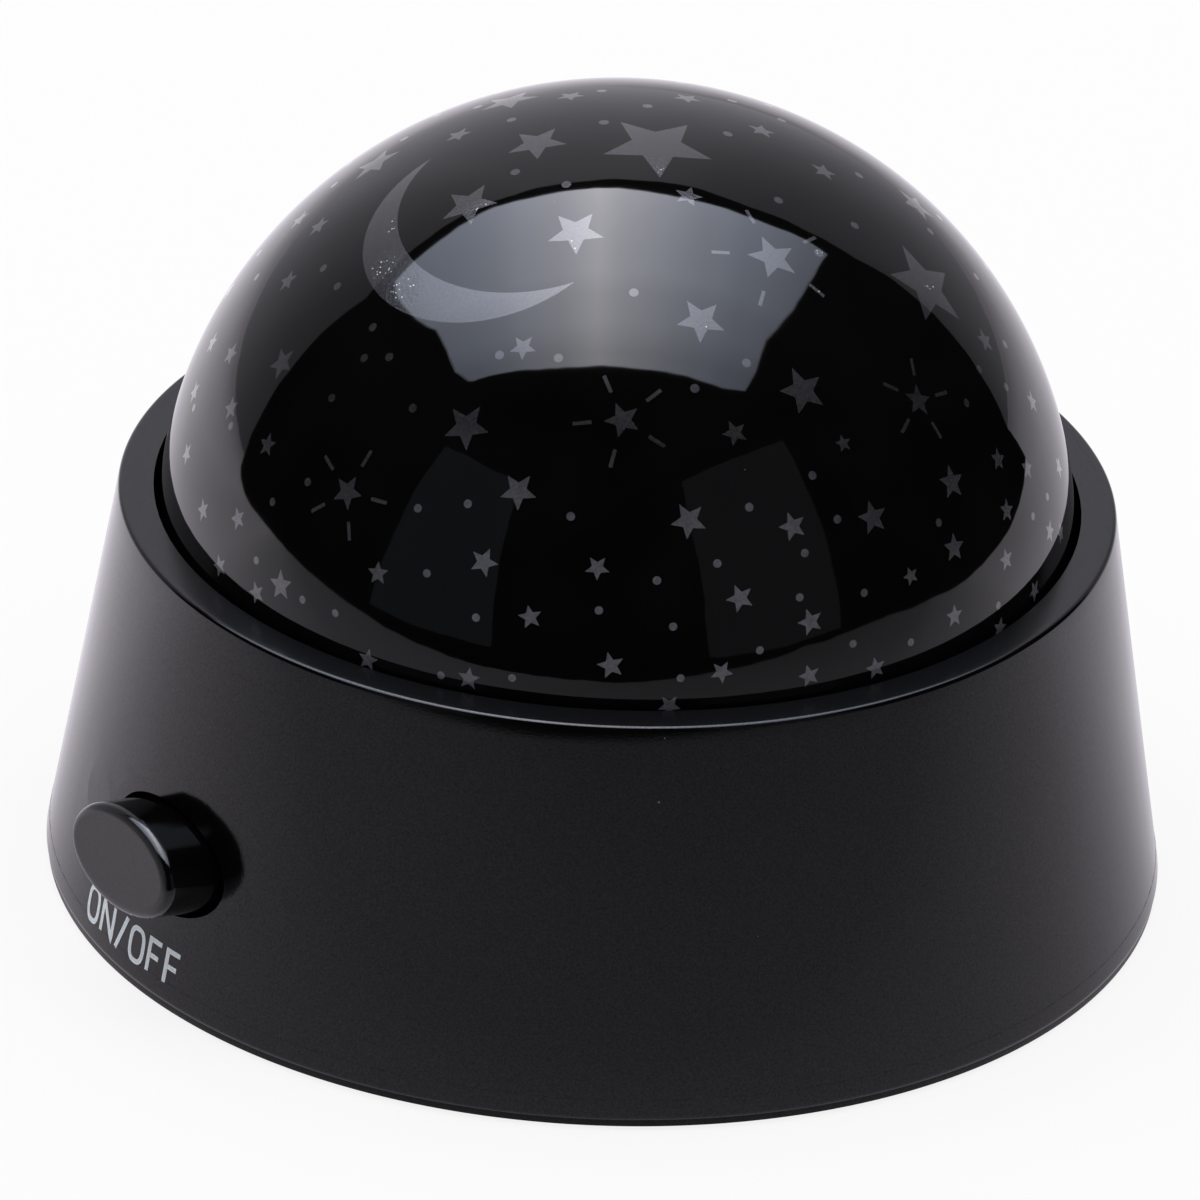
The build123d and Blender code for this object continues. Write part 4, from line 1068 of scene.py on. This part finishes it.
def gloss_only(name, corners, strength=1.0, levels=(), colour=(1, 1, 1), faces=None):
    """Stage piece that only shows in the gloss of the others, and lights nothing. It shines
    evenly, or by levels along its axes."""
    material, parts, link, shader = new_material(name)
    parts.remove(shader)
    shine = parts.new("ShaderNodeEmission")
    shine.inputs["Color"].default_value = (*colour, 1)
    shine.inputs["Strength"].default_value = strength
    shades = [levels_along(parts, link, axis, stops) for axis, stops in levels]
    while len(shades) > 1:
        shades.append(multiply(parts, link, shades.pop(), shades.pop()))
    if shades:
        link(multiply(parts, link, shades[0], colour), shine.inputs["Color"])
    link(shine.outputs["Emission"], parts["Material Output"].inputs["Surface"])
    item = stage_piece(name, corners, material, faces)
    item.visible_camera = False
    item.visible_diffuse = False
    item.visible_shadow = False


TABLE_WHITE = (0.88, 0.88, 0.88, 1)
TABLE_SHARE = 0.86        # how much of what is seen of the table is its own even level
TABLE_FRONT = 0.9
TABLE_REACH = 6.0


def table_finish():
    """Matt white that keeps a soft shadow."""
    material, parts, link, shader = new_material("table_top")
    shader.inputs["Base Color"].default_value = TABLE_WHITE
    shader.inputs["Roughness"].default_value = 0.9
    shader.inputs["Specular IOR Level"].default_value = 0.0
    glow = parts.new("ShaderNodeEmission")
    blend = parts.new("ShaderNodeMixShader")
    share = calculate(parts, link, "MULTIPLY", seen_directly(parts, link), TABLE_SHARE)
    for source, inlet in zip((share, shader.outputs[0], glow.outputs[0]), blend.inputs):
        link(source, inlet)
    link(blend.outputs[0], parts["Material Output"].inputs["Surface"])
    return material


table_top = stage_piece("table_top", [
    (-TABLE_REACH, -TABLE_FRONT, 0), (TABLE_REACH, -TABLE_FRONT, 0), (TABLE_REACH, TABLE_REACH, 0),
    (-TABLE_REACH, TABLE_REACH, 0),
], table_finish())
table_top.visible_glossy = False

# The lit part of the table, and the dark round it, as the gloss shows them
SHEEN_OUTLINE = [
    (-8, 3.07), (-2.6, 1.0), (-1.4, 0.525), (-0.92, 0.30), (-0.78, 0.20), (-0.78, 0.12),
    (-0.81, 0.04), (-0.79, -0.03), (-0.72, -0.10), (-0.64, -0.15), (-0.52, -0.21), (-0.42, -0.24),
    (-0.22, -0.28), (0, -0.34), (0.45, -0.44), (0.62, -0.26), (0.40, 0), (0.35, 0.12), (0.38, 0.27),
    (1.8, 1.31), (8, 5.8), (8, 8), (-8, 8),
]
SHEEN_BACK = [
    (-0.4, 0.30), (-0.25, 0.35), (-0.1, 0.43), (0, 0.76), (0.04, 0.98), (0.1, 0.91), (0.2, 1.0),
    (0.4, 0.90), (0.7, 0.75), (1.5, 0.60),
]
SHEEN_ACROSS = [(-0.4, 1.15), (-0.12, 1.15), (0, 1.0), (0.3, 0.8)]
DARK_REACH = 9
DARK_Z = -0.004
gloss_only("table_sheen", [(x, y, 0) for x, y in SHEEN_OUTLINE],
           levels=[("Y", SHEEN_BACK), ("X", SHEEN_ACROSS)], colour=(1.02, 0.97, 1.06))
gloss_only("table_dark", [
    (-DARK_REACH, -DARK_REACH, DARK_Z), (DARK_REACH, -DARK_REACH, DARK_Z),
    (DARK_REACH, DARK_REACH, DARK_Z), (-DARK_REACH, DARK_REACH, DARK_Z),
], 0.0)

# The soft light's outline and levels, as distances to the right and back per metre of its height
LIGHT_Z = 1.45
LIGHT_OUTLINE = [
    (-0.72, -0.33), (-0.69, -0.34), (-0.46, -0.34), (-0.27, -0.36), (0, -0.365), (0.25, -0.38),
    (0.44, -0.39), (0.55, -0.375), (0.57, -0.26), (0.57, -0.08), (0.60, 0), (0.66, 0.16), (0.73, 0.42),
    (0.78, 0.62), (0.81, 0.71), (0.68, 0.70), (0.58, 0.665), (0.49, 0.64), (0.40, 0.62), (0.24, 0.61),
    (0.10, 0.61), (-0.04, 0.635), (-0.18, 0.65), (-0.32, 0.65), (-0.48, 0.675), (-0.67, 0.64),
    (-0.78, 0.62), (-0.90, 0.60), (-1.05, 0.56), (-1.05, 0.48), (-1.04, 0.40), (-0.94, 0.17),
    (-0.83, 0.03), (-0.80, -0.11), (-0.79, -0.25),
]
LIGHT_LEVELS = [
    (-0.9, 2.4), (-0.78, 2.7), (-0.67, 3.0), (-0.57, 3.4), (-0.48, 3.9), (-0.40, 4.7), (-0.32, 5.3),
    (-0.24, 5.9), (-0.17, 7.0), (-0.10, 8.0), (-0.03, 6.8), (0.04, 6.0), (0.11, 5.3), (0.19, 4.5),
    (0.26, 3.9), (0.34, 3.5), (0.42, 2.9), (0.50, 2.6), (0.59, 2.2), (0.69, 1.8), (0.8, 1.5),
]
LIGHT_PEAK = 10.0
LIGHT_FRONT = [(-0.3, 0.62), (-0.15, 0.82), (0, 0.88), (0.1, 1.0)]
LIGHT_COOL_FROM = -0.1
LIGHT_COOL_REACH = 0.5
light_tints = []
for across, level in LIGHT_LEVELS:
    cool = min(abs(across - LIGHT_COOL_FROM) / LIGHT_COOL_REACH, 1)
    tint = (1 - 0.08 * cool, 1.0, 1.08 + 0.14 * cool)
    light_tints.append((across * LIGHT_Z, shaded(tint, level / LIGHT_PEAK)))
light_backs = [(back * LIGHT_Z, level) for back, level in LIGHT_FRONT]
gloss_only("soft_light", [(x * LIGHT_Z, y * LIGHT_Z, LIGHT_Z) for x, y in LIGHT_OUTLINE], LIGHT_PEAK,
           [("X", light_tints), ("Y", light_backs)])
BORDER_Z = LIGHT_Z + 0.003
BORDER_SHARE = 1.013
border = [(BORDER_SHARE * x * BORDER_Z, BORDER_SHARE * y * BORDER_Z, BORDER_Z) for x, y in LIGHT_OUTLINE]
gloss_only("light_border", border, colour=(1.0, 1.05, 1.2))
FILL_W = 2.7
FILL_D = 1.55
FILL_POWER = 26.0
FILL_PLACE = (-0.18, 0.24, LIGHT_Z)
fill = bpy.data.lights.new("soft_light", "AREA")
fill.shape = "RECTANGLE"
fill.size = FILL_W
fill.size_y = FILL_D
fill.energy = FILL_POWER
fill_lamp = bpy.data.objects.new("soft_light_fill", fill)
fill_lamp.location = FILL_PLACE
fill_lamp.visible_glossy = False
bpy.context.collection.objects.link(fill_lamp)

# The room's dark walls and ceiling, two dim panels in it, and the pale backdrop behind
ROOM_LEFT = -2.0
ROOM_RIGHT = 1.52
ROOM_FRONT = -0.9
ROOM_H = 1.5
ROOM_BACK = [(ROOM_RIGHT, 1.40), (1.02, 1.21), (0.6, 1.08), (0, 1.09), (-1.1, 1.11), (ROOM_LEFT, 1.03)]
room_corners = [
    (ROOM_LEFT, ROOM_FRONT, 0), (ROOM_RIGHT, ROOM_FRONT, 0), (ROOM_RIGHT, 1.07, 0), (ROOM_LEFT, 0.77, 0),
    (ROOM_LEFT, ROOM_FRONT, ROOM_H), (ROOM_RIGHT, ROOM_FRONT, ROOM_H),
]
room_corners += [(x, y, ROOM_H) for x, y in ROOM_BACK]
room_faces = [(0, 1, 5, 4), (1, 2, 6, 5), (3, 0, 4, 11), tuple(range(4, 12))]
gloss_only("dark_room", room_corners, 0.0, faces=room_faces)
LEFT_PANEL = [(-0.55, -0.38, 0.53), (-0.33, -0.58, 0.53), (-0.40, -0.75, -0.018), (-0.73, -0.43, 0)]
RIGHT_PANEL = [(0.21, -0.60, 0.57), (0.51, -0.35, 0.59), (0.70, -0.48, 0.007), (0.33, -0.78, 0.005)]
gloss_only("left_panel", LEFT_PANEL, colour=(0.10, 0.11, 0.13))
gloss_only("right_panel", RIGHT_PANEL, colour=(0.10, 0.10, 0.115))
BACKDROP_R = 8.0
BACKDROP_H = 14.0
BACKDROP_FOOT = -0.1
BACKDROP_STEPS = 60
BACKDROP_LEVELS = [
    (-1, 0.20), (-0.85, 0.28), (-0.73, 0.38), (-0.56, 0.49), (-0.42, 0.62), (0, 0.66), (0.17, 0.57),
    (0.31, 0.45), (0.5, 0.36), (0.7, 0.30), (0.8, 0.20),
]
curve = []
for step in range(BACKDROP_STEPS + 1):
    turn = math.radians(180 / BACKDROP_STEPS * step)
    curve.append((-BACKDROP_R * math.cos(turn), BACKDROP_R * math.sin(turn)))
backdrop_corners = [(x, y, height) for height in (BACKDROP_FOOT, BACKDROP_H) for x, y in curve]
above = len(curve)
gloss_only("backdrop", backdrop_corners,
           levels=[("X", [(x * BACKDROP_R, level) for x, level in BACKDROP_LEVELS])],
           colour=(1.0, 0.98, 1.08),
           faces=[(k, k + 1, k + 1 + above, k + above) for k in range(BACKDROP_STEPS)])

WORLD_DIM = 0.3           # what the world lends the object, where the camera sees white
world = bpy.data.worlds.new("studio")
bpy.context.scene.world = world
world.use_nodes = True
world_parts = world.node_tree.nodes
world_link = world.node_tree.links.new
world_level = world_parts.new("ShaderNodeMapRange")
world_level.inputs["To Min"].default_value = WORLD_DIM
world_level.inputs["To Max"].default_value = 1.0
world_link(seen_directly(world_parts, world_link), world_level.inputs["Value"])
world_parts["Background"].inputs["Color"].default_value = (1, 1, 1, 1)
world_link(world_level.outputs["Result"], world_parts["Background"].inputs["Strength"])
bpy.context.scene.view_settings.view_transform = "Standard"


# ---------------------------------------------------------------- camera
# A long lens, turned a little on its own axis, looks down on the front. It stands far enough
# away for the whole projector to fit in the frame.
LENS = 356.2
RISE = math.radians(27.51)
DISTANCE = 1.2029
ROLL = math.radians(2.48)
AIM = Vector((-1.32 * MM, 0, 29.05 * MM))
forward = Vector((0, math.cos(RISE), -math.sin(RISE)))
right = Vector((1, 0, 0))
up = Vector((0, math.sin(RISE), math.cos(RISE)))
camera_data = bpy.data.cameras.new("camera")
camera_data.lens = LENS
camera_data.sensor_width = 36.0
camera = bpy.data.objects.new("camera", camera_data)
bpy.context.collection.objects.link(camera)
turned_right = math.cos(ROLL) * right + math.sin(ROLL) * up
turned_up = math.cos(ROLL) * up - math.sin(ROLL) * right
camera.matrix_world = Matrix.Translation(AIM - forward * DISTANCE) @ Matrix(
    (turned_right, turned_up, -forward)).transposed().to_4x4()
bpy.context.scene.camera = camera
